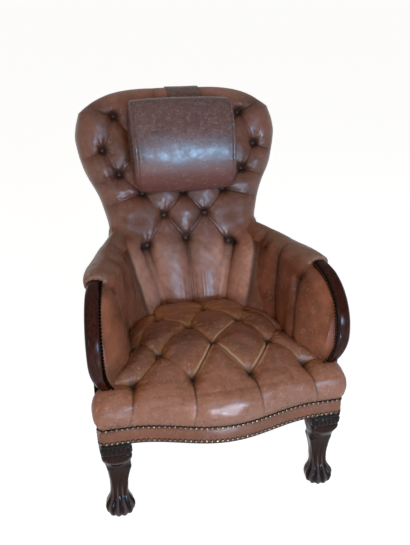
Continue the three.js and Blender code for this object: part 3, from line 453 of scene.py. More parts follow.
def bumped(tree, height, strength, distance, under=None, invert=False):
    """Relief from a height, on top of the relief under it."""
    sockets = {"Height": height, "Strength": strength, "Distance": distance}
    if under is not None:
        sockets["Normal"] = under
    return add(tree, "Bump", sockets, invert=invert).outputs[0]


def surfaced(material, sockets):
    """The material with a surface made from these sockets."""
    tree = material.node_tree
    shader = add(tree, "BsdfPrincipled", sockets)
    add(tree, "OutputMaterial", {"Surface": shader.outputs[0]})
    return material


def leather(name, body, deep, worn, tan, pale, gloss, shine):
    """Waxed cowhide, worn by use: cloudy brown, rubbed on the crowns, tan in the seat's folds, painted shade in
    other folds and creases, dark along hems.
    """
    material, tree, at = begun(name)
    scuff = noise(tree, at, 18, 3, 0.55)
    speck = noise(tree, at, 6, 3, 0.6)[0]
    rub = mark(tree, "wear")
    tuck = mark(tree, "fold")
    patch = ranged(tree, scuff[0], 0.34, 0.64, 0.68)
    rubbed = maths(tree, "MULTIPLY", rub, patch)
    color = mixed(tree, ranged(tree, noise(tree, at, 95, 4, 0.6)[0], 0.38, 0.6), deep, body)
    color = mixed(tree, ranged(tree, speck, 0.3, 0.7, 0.0, 0.16), color, deep)
    # Worn colour from the wear mark: rubbing, with painted light on the seat's rear and fold lips and a painted
    # sheen on the back's crest
    color = mixed(tree, rubbed, color, worn)
    # Fold colour: tan in the seat's folds, painted shade in the folds of the back, arms and headrest
    color = mixed(tree, tuck, color, tan)

    # Fine cracks of the finish, about 9 mm apart, broken up by the scuffing
    wander = add(tree, "Mix", {0: 0.012, 4: at, 5: scuff["Color"]}, data_type="VECTOR")
    crack = add(tree, "TexVoronoi", {"Vector": wander.outputs[1], "Scale": per_mm(9)}, feature="DISTANCE_TO_EDGE")
    broken = maths(tree, "MULTIPLY", ranged(tree, crack.outputs["Distance"], 0.0, 0.07, 1.0, 0.0), rubbed)
    color = mixed(tree, maths(tree, "MULTIPLY", broken, 0.3), color, worn)

    # Pale hair-line scratches that wander some 40 mm at a time, pale flecks, and a painted highlight along the
    # lips of pinched folds
    level = maths(tree, "ABSOLUTE", maths(tree, "SUBTRACT", noise(tree, at, 42, 3, 0.62)[0], 0.5))
    scratch = maths(tree, "MULTIPLY", ranged(tree, level, 0.0, 0.006, 0.65, 0.0), patch)
    fleck = maths(tree, "MULTIPLY", ranged(tree, speck, 0.56, 0.7, 0.0, 0.3), rub)
    bright = maths(tree, "MAXIMUM", maths(tree, "MAXIMUM", scratch, fleck), mark(tree, "lip"))
    color = mixed(tree, bright, color, pale)
    # Line mark: painted shade along fold lines, in button pits and in the arm's hollow; also darker hems and nail
    # rows
    color = mixed(tree, mark(tree, "line"), color, "#26120a")

    # The grain of cowhide is under 1 mm; it is drawn at 2.4 mm so that it shows
    grain = add(tree, "TexVoronoi", {"Vector": at, "Scale": per_mm(2.4)}).outputs["Distance"]
    rough = ranged(tree, scuff[0], 0.3, 0.7, gloss - 0.06, gloss + 0.12)
    dusty = maths(tree, "MAXIMUM", rough, maths(tree, "MULTIPLY", tuck, 0.9))
    relief = bumped(tree, grain, 0.2, 0.0005)
    relief = bumped(tree, broken, 0.35, 0.0006, relief, invert=True)
    relief = bumped(tree, scuff[0], 0.12, 0.002, relief)
    return surfaced(material, {"Base Color": color, "Roughness": dusty, "Normal": relief, "IOR": 1.5,
                               "Specular IOR Level": shine})


def polished_mahogany():
    """French-polished mahogany: nearly black with red, chipped to bare wood, dirty in grooves, with painted shade
    over the legs and a painted pale highlight on their carved ridges.
    """
    material, tree, at = begun("french_polished_mahogany")
    along = add(tree, "Mapping", {"Vector": at, "Scale": (1, 1, 0.12)}).outputs[0]
    grain = noise(tree, along, 5, 5, 0.65)[0]
    color = mixed(tree, ranged(tree, grain, 0.3, 0.7), "#0e0403", "#421609")
    chip = ranged(tree, noise(tree, at, 7, 5, 0.7)[0], 0.66, 0.7)
    color = mixed(tree, maths(tree, "MULTIPLY", chip, mark(tree, "wear")), color, "#8f5f34")
    # Fold mark: dirt in grooves, and on the legs painted shade over the whole leg and in a band at the top
    color = mixed(tree, mark(tree, "fold"), color, "#060302")
    # Line mark: a painted pale highlight on the paw's toe ridges, claw tips and the knee's ledge
    color = mixed(tree, mark(tree, "line"), color, "#7b6560")
    rough = ranged(tree, noise(tree, at, 30, 3)[0], 0.3, 0.7, 0.12, 0.24)
    relief = bumped(tree, grain, 0.12, 0.0006)
    return surfaced(material, {"Base Color": color, "Roughness": rough, "Normal": relief, "IOR": 1.52,
                               "Specular IOR Level": 0.13})


def aged_brass():
    """Domed brass nails, rubbed bright on the crown with a painted glint there, and black with old polish round
    the rim.
    """
    material, tree, at = begun("aged_brass")
    dull = ranged(tree, noise(tree, at, 14, 3)[0], 0.35, 0.65, 0.55, 1.0)
    # Rubbed brass and a painted glint on the crown of each dome
    crown = maths(tree, "POWER", mark(tree, "wear"), 3.0)
    color = mixed(tree, maths(tree, "MULTIPLY", crown, dull), "#120a07", "#a08b76")
    return surfaced(material, {"Base Color": color, "Metallic": 1.0, "Roughness": 0.34})


def frame_beech():
    """Beech of the frame, darkened as painted shade so that it does not show between the leathers, with darker
    flecks.
    """
    material, tree, at = begun("sawn_beech")
    along = add(tree, "Mapping", {"Vector": at, "Scale": (0.2, 1, 1)}).outputs[0]
    fleck = noise(tree, along, 3, 4)[0]
    color = mixed(tree, ranged(tree, fleck, 0.35, 0.7), "#4a2e1c", "#321d11")
    return surfaced(material, {"Base Color": color, "Roughness": 0.7, "Normal": bumped(tree, fleck, 0.3, 0.0005)})


def woven(name, light, dark, thread):
    """Plain-woven cloth: two sets of threads, with the given thread spacing in millimetres."""
    material, tree, at = begun(name)
    sockets = {"Vector": at, "Scale": per_mm(thread) / 20, "Distortion": 0.4}
    warp, weft = (add(tree, "TexWave", sockets, bands_direction=way).outputs["Fac"] for way in "XY")
    weave = maths(tree, "MULTIPLY", warp, weft)
    color = mixed(tree, weave, dark, light)
    return surfaced(material, {"Base Color": color, "Roughness": 0.9, "Normal": bumped(tree, weave, 0.5, 0.0006)})


def spring_steel():
    """Drawn spring wire, grey with a bloom of rust."""
    material, tree, at = begun("spring_wire")
    rust = ranged(tree, noise(tree, at, 12, 4)[0], 0.45, 0.7)
    color = mixed(tree, rust, "#6d6c69", "#5a3b28")
    return surfaced(material, {"Base Color": color, "Metallic": 0.9, "Roughness": 0.45})


# The fourth colour of each leather fills its fold mark: tan on the seat, painted shade on the back, arms and
# headrest
SEAT_LEATHER = leather("worn_seat_hide", "#713e2d", "#4a291c", "#985f46", "#8a5527", "#c09a82", 0.3, 0.36)
BACK_LEATHER = leather("worn_back_hide", "#653222", "#432015", "#b9826b", "#5c3018", "#93695a", 0.33, 0.4)
ARM_LEATHER = leather("worn_arm_hide", "#965236", "#6d3920", "#83604f", "#33170b", "#a8856f", 0.36, 0.28)
HEAD_LEATHER = leather("worn_headrest_hide", "#5d3226", "#40221a", "#5f403a", "#6a3526", "#ab9a92", 0.26, 0.46)
BAND_LEATHER = leather("worn_band_hide", "#7f432a", "#683721", "#7b4a34", "#5a3420", "#a5836e", 0.34, 0.28)
BUTTON_LEATHER = leather("button_hide", "#3f2117", "#2c160f", "#4a2e25", "#2c160f", "#5a4035", 0.42, 0.15)
MAHOGANY = polished_mahogany()
BRASS = aged_brass()
BEECH = frame_beech()
JUTE = woven("jute_webbing", "#a3855a", "#6e5636", 2.5)
DUST_CLOTH = woven("black_cotton", "#2a2725", "#121110", 1.2)
STEEL = spring_steel()


# Lines of the seat frame and the arms

def front_y(x):
    """Front line of the seat, bowed forward in the middle."""
    across = np.minimum(np.abs(x) / BOW_HALF, 1)
    return FRONT_Y - FRONT_BOW * 0.5 * (1 + np.cos(math.pi * across))


def side_x(y):
    """Side line of the seat: straight past the front legs, then drawn in towards the rear."""
    slope = (SEAT_HALF - REAR_HALF) / (REAR_Y - SIDE_START)
    return SEAT_HALF - slope * np.maximum(y - SIDE_START, 0)


def arm_outer_x(y):
    """Outer line of the arm's roll."""
    back = y - ARM_FRONT_Y
    ahead = side_x(np.array(float(ARM_FRONT_Y))) + ARM_OVERHANG - 0.05 * back
    behind = np.maximum(side_x(y) + ARM_OVERHANG + 0.0104 * back - 0.00038 * back ** 2, REAR_HALF - 6)
    return np.where(back < 0, ahead, behind)


def rear_plane_y(z):
    """Where the leaning plane of the back is at that height."""
    return BACK_PLANE_Y + (z - RAIL_TOP) * math.tan(BACK_LEAN)


seat_side = curve((FRONT_Y, SEAT_HALF), (FRONT_Y + 44, SEAT_HALF), (FRONT_Y + 72, 292),
                  (FRONT_Y + 141, 243), (FRONT_Y + 241, 226), (FRONT_Y + 321, 190), (FRONT_Y + 381, 152),
                  (FRONT_Y + 449, 140))
seat_rise = curve((0, 86), (50, 103), (100, 128), (150, 145), (220, 151), (330, 148), (408, 142))


# Seat

SEAT_BUTTONS = [(-230, -294), (-79, -312), (78, -313), (233, -290),
                (-152, -226), (0, -203), (155, -217),
                (-212, -158), (-48, -122), (98, -108), (214, -150),
                (-128, -58), (19, -20), (140, -48)]
# Folds between two buttons, with the rise of the floor half way and the sideways bow
SEAT_FOLDS = [(0, 4, 0.6, 8), (4, 1, 0.78, 0), (1, 5, 0.3, 7), (5, 2, 0.3, 8), (2, 6, 0.35, 6),
              (6, 3, 0.75, 0), (4, 7, 0.75, 0), (4, 8, 0.5, -10), (5, 8, 0.45, 0), (5, 9, 0.35, 0),
              (6, 9, 0.6, 0), (6, 10, 0.6, 0), (7, 11, 0.7, 0), (8, 11, 0.7, 0), (8, 12, 0.5, -5),
              (9, 12, 0.5, 5), (9, 13, 0.7, 0), (10, 13, 0.7, 0)]
SEAT_PLEATS = [(0, -254), (1, -92), (2, 94), (3, 258)]
SEAT_FOLD_WIDTH = 44
SEAT_PLEAT_WIDTH = 42
CORNER_FOLD_WIDTH = 34
SEAT_PLEAT_FOOT = -490
SEAT_FOLD_END = 110
SEAT_BUTTON_RADIUS = 8.5
PINCHED_BELOW = 0.4

# Shares of the grid taken by the front wall and by each side wall, and the wall's share of the height
SEAT_WALL = 0.2
SIDE_WALL = 0.08
WALL_TOP = 0.97

# How far the top edge lies inside the foot of the wall, and the depth over which the front bow fades out
EDGE_INSET = 19
BOW_FADE = 100

wall_inset = curve((0, 0), (0.2, 1), (0.4, 2.5), (0.6, 5), (0.8, 10), (1, EDGE_INSET))
wall_bulge = curve((0, 0), (0.2, 0.8), (0.4, 1.15), (0.6, 1.08), (0.8, 0.6), (1, 0))
wall_share = curve((0, 0), (0.2, 0.22), (0.4, 0.46), (0.6, 0.7), (0.8, 0.88), (1, WALL_TOP))


def seat_lines(u, v):
    """Inset and height share of the seat's rows, and the place across with its share of the side wall."""
    front = np.clip(v / SEAT_WALL, 0, 1)
    back = np.clip((v - SEAT_WALL) / (1 - SEAT_WALL), 0, 1)
    inset = wall_inset(front) + back * (SEAT_DEPTH + 4)
    row = np.where(back > 0, np.minimum(1, WALL_TOP + 0.03 * (inset - EDGE_INSET) / 15), wall_share(front))
    across = 2 * u - 1
    side = np.clip((1 - np.abs(across)) / SIDE_WALL, 0, 1)
    return inset, row, front, across, side


def seat_base(u, v):
    """The seat without its buttons."""
    inset, row, front, across, side = seat_lines(u, v)
    edge = FRONT_Y + inset
    half = np.minimum(SEAT_HALF, seat_side(edge) + 8)
    open_front = 1 - ease(FRONT_Y + 36, FRONT_Y + 60, edge)
    column = wall_share(side) * open_front + (1 - open_front) * np.minimum(1, 0.45 + 0.6 * side)
    side_out = (3 + 10 * open_front) * wall_bulge(side) * np.sqrt(row)
    front_out = 13 * wall_bulge(front) * np.sqrt(np.clip(column, 0, 1))
    flat = np.clip(np.abs(across) / (1 - SIDE_WALL), 0, 1)
    reach = np.where(side < 1, half - wall_inset(side) + side_out, flat * (half - EDGE_INSET))
    x = np.sign(across) * reach
    y = edge - front_out + (front_y(x) - FRONT_Y) * np.clip(1 - inset / BOW_FADE, 0, 1)
    behind = np.maximum(y - front_y(x) * 0.5 - FRONT_Y * 0.5, 0)
    inside = np.clip((seat_side(y) - np.abs(x)) / 70, 0, 1)
    drop = np.clip((y + 291) / 60, 0, 1) * 34 * (1 - inside) ** 2
    rear = 22 * np.clip(1 - (SEAT_REAR - y) / 70, 0, 1) ** 2
    top = seat_rise(behind) * (1 - 0.16 * (x / SEAT_HALF) ** 2) - drop - rear + 9
    z = BAND_TOP + 1.3 + top * row * np.clip(column, 0, 1)
    cx, cy = SEAT_HALF - CORNER_RADIUS, FRONT_Y + CORNER_RADIUS
    dx, dy = np.maximum(np.abs(x) - cx, 0), np.maximum(cy - y, 0)
    corner = np.where((dx > 0) & (dy > 0), np.maximum(dx, dy) / np.maximum(np.hypot(dx, dy), 1e-6), 1)
    x = np.where(corner < 1, np.sign(x) * (cx + dx * corner), x)
    y = np.where(corner < 1, cy - dy * corner, y)
    return stack(x, y, z)


def between_seat_buttons(rise_below=1.0):
    """Folds from button to button whose floor rises by less than that half way."""
    return [piece for a, b, mid, bow in SEAT_FOLDS if mid < rise_below
            for piece in fold(SEAT_BUTTONS[a], SEAT_BUTTONS[b], SEAT_FOLD_WIDTH, mid, 0, bow)]


def seat_folds():
    """All folds of the seat: between buttons, down the front, to the front corners and to the rear."""
    folds = between_seat_buttons()
    for k, foot in SEAT_PLEATS:
        folds += fold(SEAT_BUTTONS[k], (foot, SEAT_PLEAT_FOOT), SEAT_PLEAT_WIDTH, 0.3, 0.6)
    for k, corner in ((0, (-312, -272)), (3, (312, -268))):
        folds += fold(SEAT_BUTTONS[k], corner, CORNER_FOLD_WIDTH, 0.2, 0.3)
    for k, x in ((11, -150), (12, 12), (13, 160)):
        folds += fold(SEAT_BUTTONS[k], (x, SEAT_FOLD_END), SEAT_FOLD_WIDTH, 0.3, 0.5)
    return folds


def seat_place(u, v):
    """The buttoned seat: deep folds on top, shallow ones at the front and rear."""
    inset, row, front, _, side = seat_lines(u, v)
    base = seat_base(u, v)
    x = base[:, 0]
    bow = (front_y(x) - FRONT_Y) * np.clip(1 - inset / BOW_FADE, 0, 1)
    y = FRONT_Y + inset + bow - 100 * (1 - wall_share(front) / WALL_TOP)
    full, line, lip, pit, gather = tufting(x, y, seat_folds(), SEAT_BUTTONS)
    pinched = off_folds(x, y, between_seat_buttons(PINCHED_BELOW))[1].min(1)
    pinch = bell(pinched, 4.6, 1.6) * (1 - pit) ** 2
    on_top = ease(-365, -300, y)
    depth = 8 + 20 * on_top - 13 * ease(-200, -60, y)
    held = np.minimum(1, row * 2.2) * np.minimum(1, side * 2)
    height = held * (-depth * (1 - full) - (1 + 1.2 * on_top) * line + 1.2 * lip * on_top + 1.6 * pinch - 7 * pit
                     + 1.7 * gather + 2.2 * ripple(x, y, 120, 0.4) + 0.7 * ripple(x, y, 41, 1.1))
    points = base + normals(seat_base, u, v) * height[:, None]
    # Tan in the folds on top, and a lighter tan towards the rear as painted light where the back shades the seat
    tan = np.clip(1.1 * (1 - full) ** 1.25 * on_top + 0.35 * ease(-150, 0, y), 0, 0.85)
    # Wear along the front edge, and more towards the rear as painted light where the back shades the seat
    worn_front_painted_light_rear = 0.85 - 0.7 * ease(-340, -250, y) + 0.6 * ease(-130, -20, y)
    wear = np.clip(worn_front_painted_light_rear + 0.1 * on_top * full + 0.3 * lip, 0, 1)
    # Painted shade along the fold lines, strongest down the front wall, and in the button pits
    dark = np.clip(line * (1.3 - 0.9 * on_top) + 0.8 * pit, 0, 1)
    # The lip mark, and the 0.3 of lip in the wear, paint a highlight along the lips of pinched folds
    return points, (tan, wear, dark, 0.75 * pinch)


seat = drawn(250, 230, seat_place, ("fold", "wear", "line", "lip"))
close_behind(seat, lambda p: Vector((p.x, p.y, BAND_TOP + 0.3)))
outward(seat)
buttons = studs(button_spots(seat, SEAT_BUTTONS, lambda p: (p[:, 0], p[:, 1])), SEAT_BUTTON_RADIUS,
                BUTTON_RISE, 12)
finished(seat, "seat_cushion", SEAT_LEATHER, ("seat_pad",))
finished(buttons, "seat_buttons", BUTTON_LEATHER)


# Back

BACK_BUTTONS = [(0, 298), (-121, 284), (130, 282), (-63, 369), (61, 369), (0, 439), (-124, 439), (124, 439),
                (-62, 502), (62, 502), (-189, 498), (187, 498), (0, 572), (-120, 572), (120, 572),
                (-233, 571), (231, 572), (-62, 668), (62, 668), (-193, 670), (188, 669)]
BACK_FOLDS = [(1, 3, 0.55), (3, 0, 0.45), (0, 4, 0.45), (4, 2, 0.55), (3, 6, 0.65), (3, 5, 0.5), (4, 5, 0.5),
              (4, 7, 0.65), (6, 8, 0.5), (5, 8, 0.5), (5, 9, 0.5), (7, 9, 0.5), (6, 10, 0.6), (7, 11, 0.6),
              (8, 13, 0.5), (8, 12, 0.5), (9, 12, 0.5), (9, 14, 0.5), (10, 13, 0.6), (11, 14, 0.6), (10, 15, 0.6),
              (11, 16, 0.6), (13, 17, 0.5), (12, 17, 0.5), (12, 18, 0.5), (14, 18, 0.5), (13, 19, 0.5),
              (14, 20, 0.5), (15, 19, 0.6), (16, 20, 0.6)]
BACK_PLEATS = [(6, -255, 402), (7, 255, 402), (10, -275, 470), (11, 272, 466),
               (15, -312, 540), (16, 312, 540), (19, -290, 722), (20, 290, 722), (17, -72, 775), (18, 72, 775)]
BACK_FLUTES = [(0, 8), (1, -74), (2, 90)]
BACK_DEPTH = 25
BACK_FOLD_WIDTH = 46
BACK_PLEAT_WIDTH = 40
FLUTE_WIDTH = 44
FLUTE_FOOT = 90
BACK_BUTTON_RADIUS = 8
WING_REACH = 92

back_side = curve((14, 150), (128, 152), (260, 198), (330, 225), (366, 231), (439, 251), (519, 288), (604, 307),
                  (646, 304), (687, 292))
CREST_HALF = 292.0


def back_top(x):
    """Height of the crest, up the leaning plane."""
    return BACK_SHOULDER + BACK_CREST * (1 - np.clip(np.abs(x) / CREST_HALF, 0, 1) ** 4)


def back_half(s):
    """Half width of the back: its outline, and below the arms a wing on each side that runs on behind the arm."""
    low = 1 - ease(285, 345, s)
    return back_side(s) + low * np.maximum(182 + 0.13 * s - back_side(s), 0)


def back_plan(u, v):
    """Place on the leaning plane, with the distance in from the rim."""
    across = 2 * u - 1
    bend = signed(across, 0.9)
    s = BACK_FOOT + v * (BACK_SHOULDER - BACK_FOOT)
    s = BACK_FOOT + (back_top(bend * back_half(s)) - BACK_FOOT) * v
    x = bend * np.where(s > BACK_SHOULDER, CREST_HALF, back_half(s))
    buried = 70 * (1 - ease(290, 350, s))
    rim = np.minimum(back_half(s) - np.abs(x) + buried, back_top(x) - s)
    return x, s, np.maximum(rim, 0)


def wing_room(x, s):
    """How far a point of a wing is from the arm that it meets."""
    return 158 + 0.24 * (s - 110) - np.abs(x)


def back_base(u, v):
    """The back without its buttons. Beside the outer flutes it turns forward to meet the arms."""
    x, s, rim = back_plan(u, v)
    round_off = 1 - np.clip(rim / BACK_ROUND, 0, 1)
    shoulder = np.sqrt(1 - round_off ** 2)
    belly = -9 * ((s - 160) / 138) ** 2 * (1 - ease(298, 380, s))
    start = 82 + 0.225 * (s - 90)
    share = np.maximum((np.abs(x) - start) / (np.abs(x) + wing_room(x, s) - start), 0)
    wing = WING_REACH * share * (1.35 - 0.4 * share) * (1 - ease(235, 340, s))
    return leaning(x, s, BACK_EDGE + shoulder * (BACK_FOLD + 15 + belly - BACK_EDGE) + wing)


def back_folds():
    """All folds of the back: between buttons, out to the rim, and the flutes below the lowest row."""
    folds = []
    for a, b, mid in BACK_FOLDS:
        folds += fold(BACK_BUTTONS[a], BACK_BUTTONS[b], BACK_FOLD_WIDTH, mid)
    for k, x, s in BACK_PLEATS:
        folds += fold(BACK_BUTTONS[k], (x, s), BACK_PLEAT_WIDTH, 0.35, 0.6)
    for k, x in BACK_FLUTES:
        folds += fold(BACK_BUTTONS[k], (x, FLUTE_FOOT), FLUTE_WIDTH, 0.35, 0.5)
    return folds


def back_place(u, v):
    """The buttoned back: lighter on the flutes, with a painted sheen on the crest, and painted shade in its
    folds, pits and foot and, dull, where it meets the arms.
    """
    x, s, rim = back_plan(u, v)
    base = back_base(u, v)
    full, line, lip, pit, gather = tufting(x, s, back_folds(), BACK_BUTTONS)
    inner = np.minimum(rim / 22, 1)
    foot = (1 - ease(130, 260, s)) * bell(x, 12, 45)
    height = inner * (-BACK_DEPTH * (1 - full) - 1.2 * line + 1.2 * lip - 8 * pit + 1.3 * gather
                      + 0.4 * foot * np.sin(x * 0.55 + 1.4 * np.sin(x * 0.13) + 0.01 * s)
                      + 1.8 * ripple(x, s, 130, 0.8) + 0.6 * ripple(x, s, 47, 0.2))
    points = base + normals(back_base, u, v) * height[:, None]
    # Painted shade in the folds, and over the foot where the back meets the seat
    tan = np.clip(1.2 * (1 - full) ** 1.6 * inner + 0.7 * (1 - ease(95, 135, s)), 0, 1)
    flutes = (1 - ease(230, 330, s)) * ease(-2, 16, wing_room(x, s))
    # Wear on the crowns, lighter on the flutes and wings, and a paler crest that is a painted sheen
    wear = np.clip(0.05 + 0.12 * full * ease(-90, 0, -rim) + 0.1 * full
                   + flutes * (0.36 + 0.64 * ease(60, 105, np.abs(x))) + 0.35 * ease(700, 745, s), 0, 1)
    low = 1 - ease(285, 330, s)
    leaned_on = 0.85 * bell(np.abs(x), 140, 58) * bell(s, 352, 46)
    # Painted shade, tan and dull, where the wing runs on behind the arm
    tan = np.maximum(np.maximum(tan, leaned_on), low * (1 - ease(-2, 14, wing_room(x, s))))
    # Painted shade along the crease where the wing meets the arm
    junction_shade = low * bell(wing_room(x, s), 4, 6)
    shade = 0.55 * (1 - full) ** 1.4 * ease(150, 260, s)
    # Painted shade along the fold lines, in the button pits, at that crease and in the deeper folds up the back
    dark = np.clip(0.4 * line * inner + 0.9 * pit + 0.6 * junction_shade + shade, 0, 1)
    return points, (tan, wear, dark)


def back_seen(points):
    """Place across and up the leaning plane."""
    lean = points[:, 1] - BACK_PLANE_Y
    return points[:, 0], lean * math.sin(BACK_LEAN) + (points[:, 2] - RAIL_TOP) * math.cos(BACK_LEAN)


back = drawn(250, 290, back_place)
facing_out = Vector(leaning(0, 0, 1)[0]) - Vector(leaning(0, 0, 0)[0])
plane_point = Vector(leaning(0, 0, 0.4)[0])
close_behind(back, lambda p: p - facing_out * (p - plane_point).dot(facing_out))
outward(back)
buttons = studs(button_spots(back, BACK_BUTTONS, back_seen), BACK_BUTTON_RADIUS, BUTTON_RISE, 12)
finished(back, "buttoned_back", BACK_LEATHER, ("back_pad",))
finished(buttons, "back_buttons", BUTTON_LEATHER)


# Arms

ARM_BUTTON = (2, 600)
ARM_BUTTON_RADIUS = 5
ARM_BUTTON_RISE = 3
ARM_FOLD_DEPTH = 20
HOLLOW_Y = -164
HOLLOW_Z = 555

arm_seat_depth = curve((-310, 36), (-285, 46), (-205, 106), (-100, 104), (-20, 118), (40, 137), (100, 120),
                       (190, 95))
arm_top_depth = curve((-310, 36), (-230, 50), (-187, 62), (-100, 88), (-48, 86), (47, 66), (120, 56), (190, 46))


def up_arc(z):
    """Height above the middle of the arm front's arc, held to the part of the arc that is there."""
    return np.clip(z - ARC_Z, -ARC_RADIUS * 0.53, ARC_RADIUS * 0.94)


def arm_front_y(z):
    """Where the middle of the arm front's thickness is at that height."""
    return ARC_Y - np.sqrt(ARC_RADIUS ** 2 - up_arc(z) ** 2)


def facing_x(angle):
    """Place across of the arm front, which leans in towards both its ends."""
    return SEAT_HALF - 5 - 0.004 * (angle - 163) ** 2 - 0.02 * np.maximum(angle - 184, 0) ** 2


def facing(angle, side, reach):
    """Point of an arm front: angle along its arc, side across it, reach out from the middle of its thickness."""
    turn = np.radians(angle)
    radius = ARC_RADIUS + reach
    return stack(facing_x(angle) + side, ARC_Y + radius * np.cos(turn), ARC_Z + radius * np.sin(turn))


def arm_inner_x(y, z):
    """Inner line of the arm's stuffing."""
    seat_level = RAIL_TOP + 122
    rise = np.clip((z - seat_level) / (ARM_TOP - 18 - seat_level), 0, 1)
    depth = arm_seat_depth(y) + (arm_top_depth(y) - arm_seat_depth(y)) * rise
    swell = 6 * np.sin(math.pi * rise) * np.clip((y - FRONT_Y - 70) / 60, 0, 1)
    return arm_outer_x(y) - depth - swell


# Section of the arm from the seat up its inside, over the roll and back underneath: the height, and the share of
# the width from the inner to the outer line
arm_height = curve((0, 320), (0.1, 380), (0.2, 440), (0.3, 500), (0.38, 545), (0.46, 586), (0.52, 608),
                   (0.57, 622), (0.62, 633), (0.68, 638), (0.74, 633), (0.79, 621), (0.84, 603), (0.88, 588),
                   (0.92, 580), (1, 580))
arm_share = curve((0, 0), (0.46, 0), (0.52, 0.015), (0.57, 0.1), (0.62, 0.3), (0.68, 0.55), (0.74, 0.78),
                  (0.79, 0.94), (0.84, 1), (0.88, 0.985), (0.92, 0.93), (1, 0.4))


def arm_base(u, v):
    """The arm without its pleats: nailed along the wood up its inside, and gathered round the wood's top end."""
    z = arm_height(u)
    roll = ease(0.44, 0.54, u)
    angle = 180 - np.degrees(np.arcsin(up_arc(z) / ARC_RADIUS))
    turn = math.pi * (1 - np.clip((u - 0.5) / 0.34, 0, 1.4))
    side = -(FACING_HALF - 1) * (1 - roll) + 17 * np.cos(turn) * roll
    reach = 5 * (1 - roll) + 14 * np.sin(turn) * roll
    held = facing(angle * (1 - roll) + 95 * roll, side, reach)
    y = held[:, 1] + (rear_plane_y(z) - 8 - held[:, 1]) * v
    near = np.clip((y - held[:, 1]) / (26 + 26 * roll), 0, 1)
    grown = np.sqrt(1 - (1 - near) ** 2)
    inner = arm_inner_x(y, z)
    x = inner + arm_share(u) * (arm_outer_x(y) - inner)
    dip = 5 * np.sin(math.pi * v) * ease(610, 632, z) - 16 * ease(0.76, 0.88, u) * (1 - ease(0.1, 0.4, v))
    y = y - 22 * roll * np.sin(math.pi * near) * (1 - near)
    return stack(held[:, 0] + (x - held[:, 0]) * grown, y, held[:, 2] + (z - dip - held[:, 2]) * grown)


ARM_FOLDS = (fold((-164, 560), (-198, 395), 26, 0.15, 0.3, -5) + fold((-164, 560), (-186, 612), 22, 0.3, 0.6)
             + fold((-56, 628), (-84, 400), 44, 0.2, 0.35, 4) + fold((-66, 605), (-79, 520), 20, 0.1, 0.5)
             + fold((58, 640), (4, 400), 30, 0.25, 0.3, 6))


def arm_place(u, v):
    """The pleated arm, rubbed on its roll, with painted shade in its folds and pits and in a hollow near the
    front of its inside.
    """
    base = arm_base(u, v)
    y, z = base[:, 1], base[:, 2]
    full, line, lip, pit, gather = tufting(y, z, ARM_FOLDS, [ARM_BUTTON])
    inside = 1 - ease(0.52, 0.66, u)
    soft = ease(0.02, 0.1, v)
    nose = bell(y, -190, 26) * ease(0.5, 0.58, u)
    height = inside * soft * (4 - ARM_FOLD_DEPTH * (1 - full) - 1.2 * line + 1.2 * lip - 3 * pit + 0.5 * gather)
    height -= 7 * inside * bell(y, HOLLOW_Y, 9) * bell(z, HOLLOW_Z, 18)
    height += soft * (1.6 * ripple(y, z, 110, 0.5) + 0.5 * ripple(y, base[:, 0], 38, 0.3))
    height += 1.6 * nose * np.sin(base[:, 0] * 0.45 + 0.7 * np.sin(y * 0.12))
    points = base + normals(arm_base, u, v) * height[:, None]
    low = 1 - ease(390, 470, z)
    # Painted shade over the upper part of the leather beside the wood
    painted_shade_front = 0.3 * ease(-262, -195, y) * ease(400, 480, z)
    # Painted shade in the folds, and lower down inside behind the front
    tan = np.clip(inside * (0.7 * (1 - full) ** 1.5 + painted_shade_front + ease(-178, -150, y) * 0.3 * low), 0, 1)
    wear = np.clip(ease(0.5, 0.62, u) * 0.95 + 0.12, 0, 1)
    # Painted shade in the hollow
    hollow = bell(y, HOLLOW_Y, 7) * bell(z, HOLLOW_Z, 15)
    # Painted shade along the fold lines, in the button's pit and in the hollow
    dark = np.clip(inside * (0.6 * line + 0.6 * pit + 0.9 * hollow), 0, 1)
    return points, (tan, wear, dark)


arm = drawn(150, 190, arm_place)
close_behind(arm, lambda p: p.copy())
outward(arm)
button = studs(button_spots(arm, [ARM_BUTTON], lambda p: (p[:, 1], p[:, 2])), ARM_BUTTON_RADIUS,
               ARM_BUTTON_RISE, 10)
on_both_sides(button, "arm_button", BUTTON_LEATHER)
on_both_sides(arm, "arm_cover", ARM_LEATHER, "arm_pad")


# Show-wood arm fronts with their nails

# Share of the length where the foot starts, its half width, and its gap above the rail
FOOT_FROM = 0.9
FOOT_HALF = 15
ON_RAIL = 0.3

ARM_NAIL_PITCH = 8.4
ARM_NAIL_RADIUS = 4.0
ARM_NAIL_RISE = 3.2


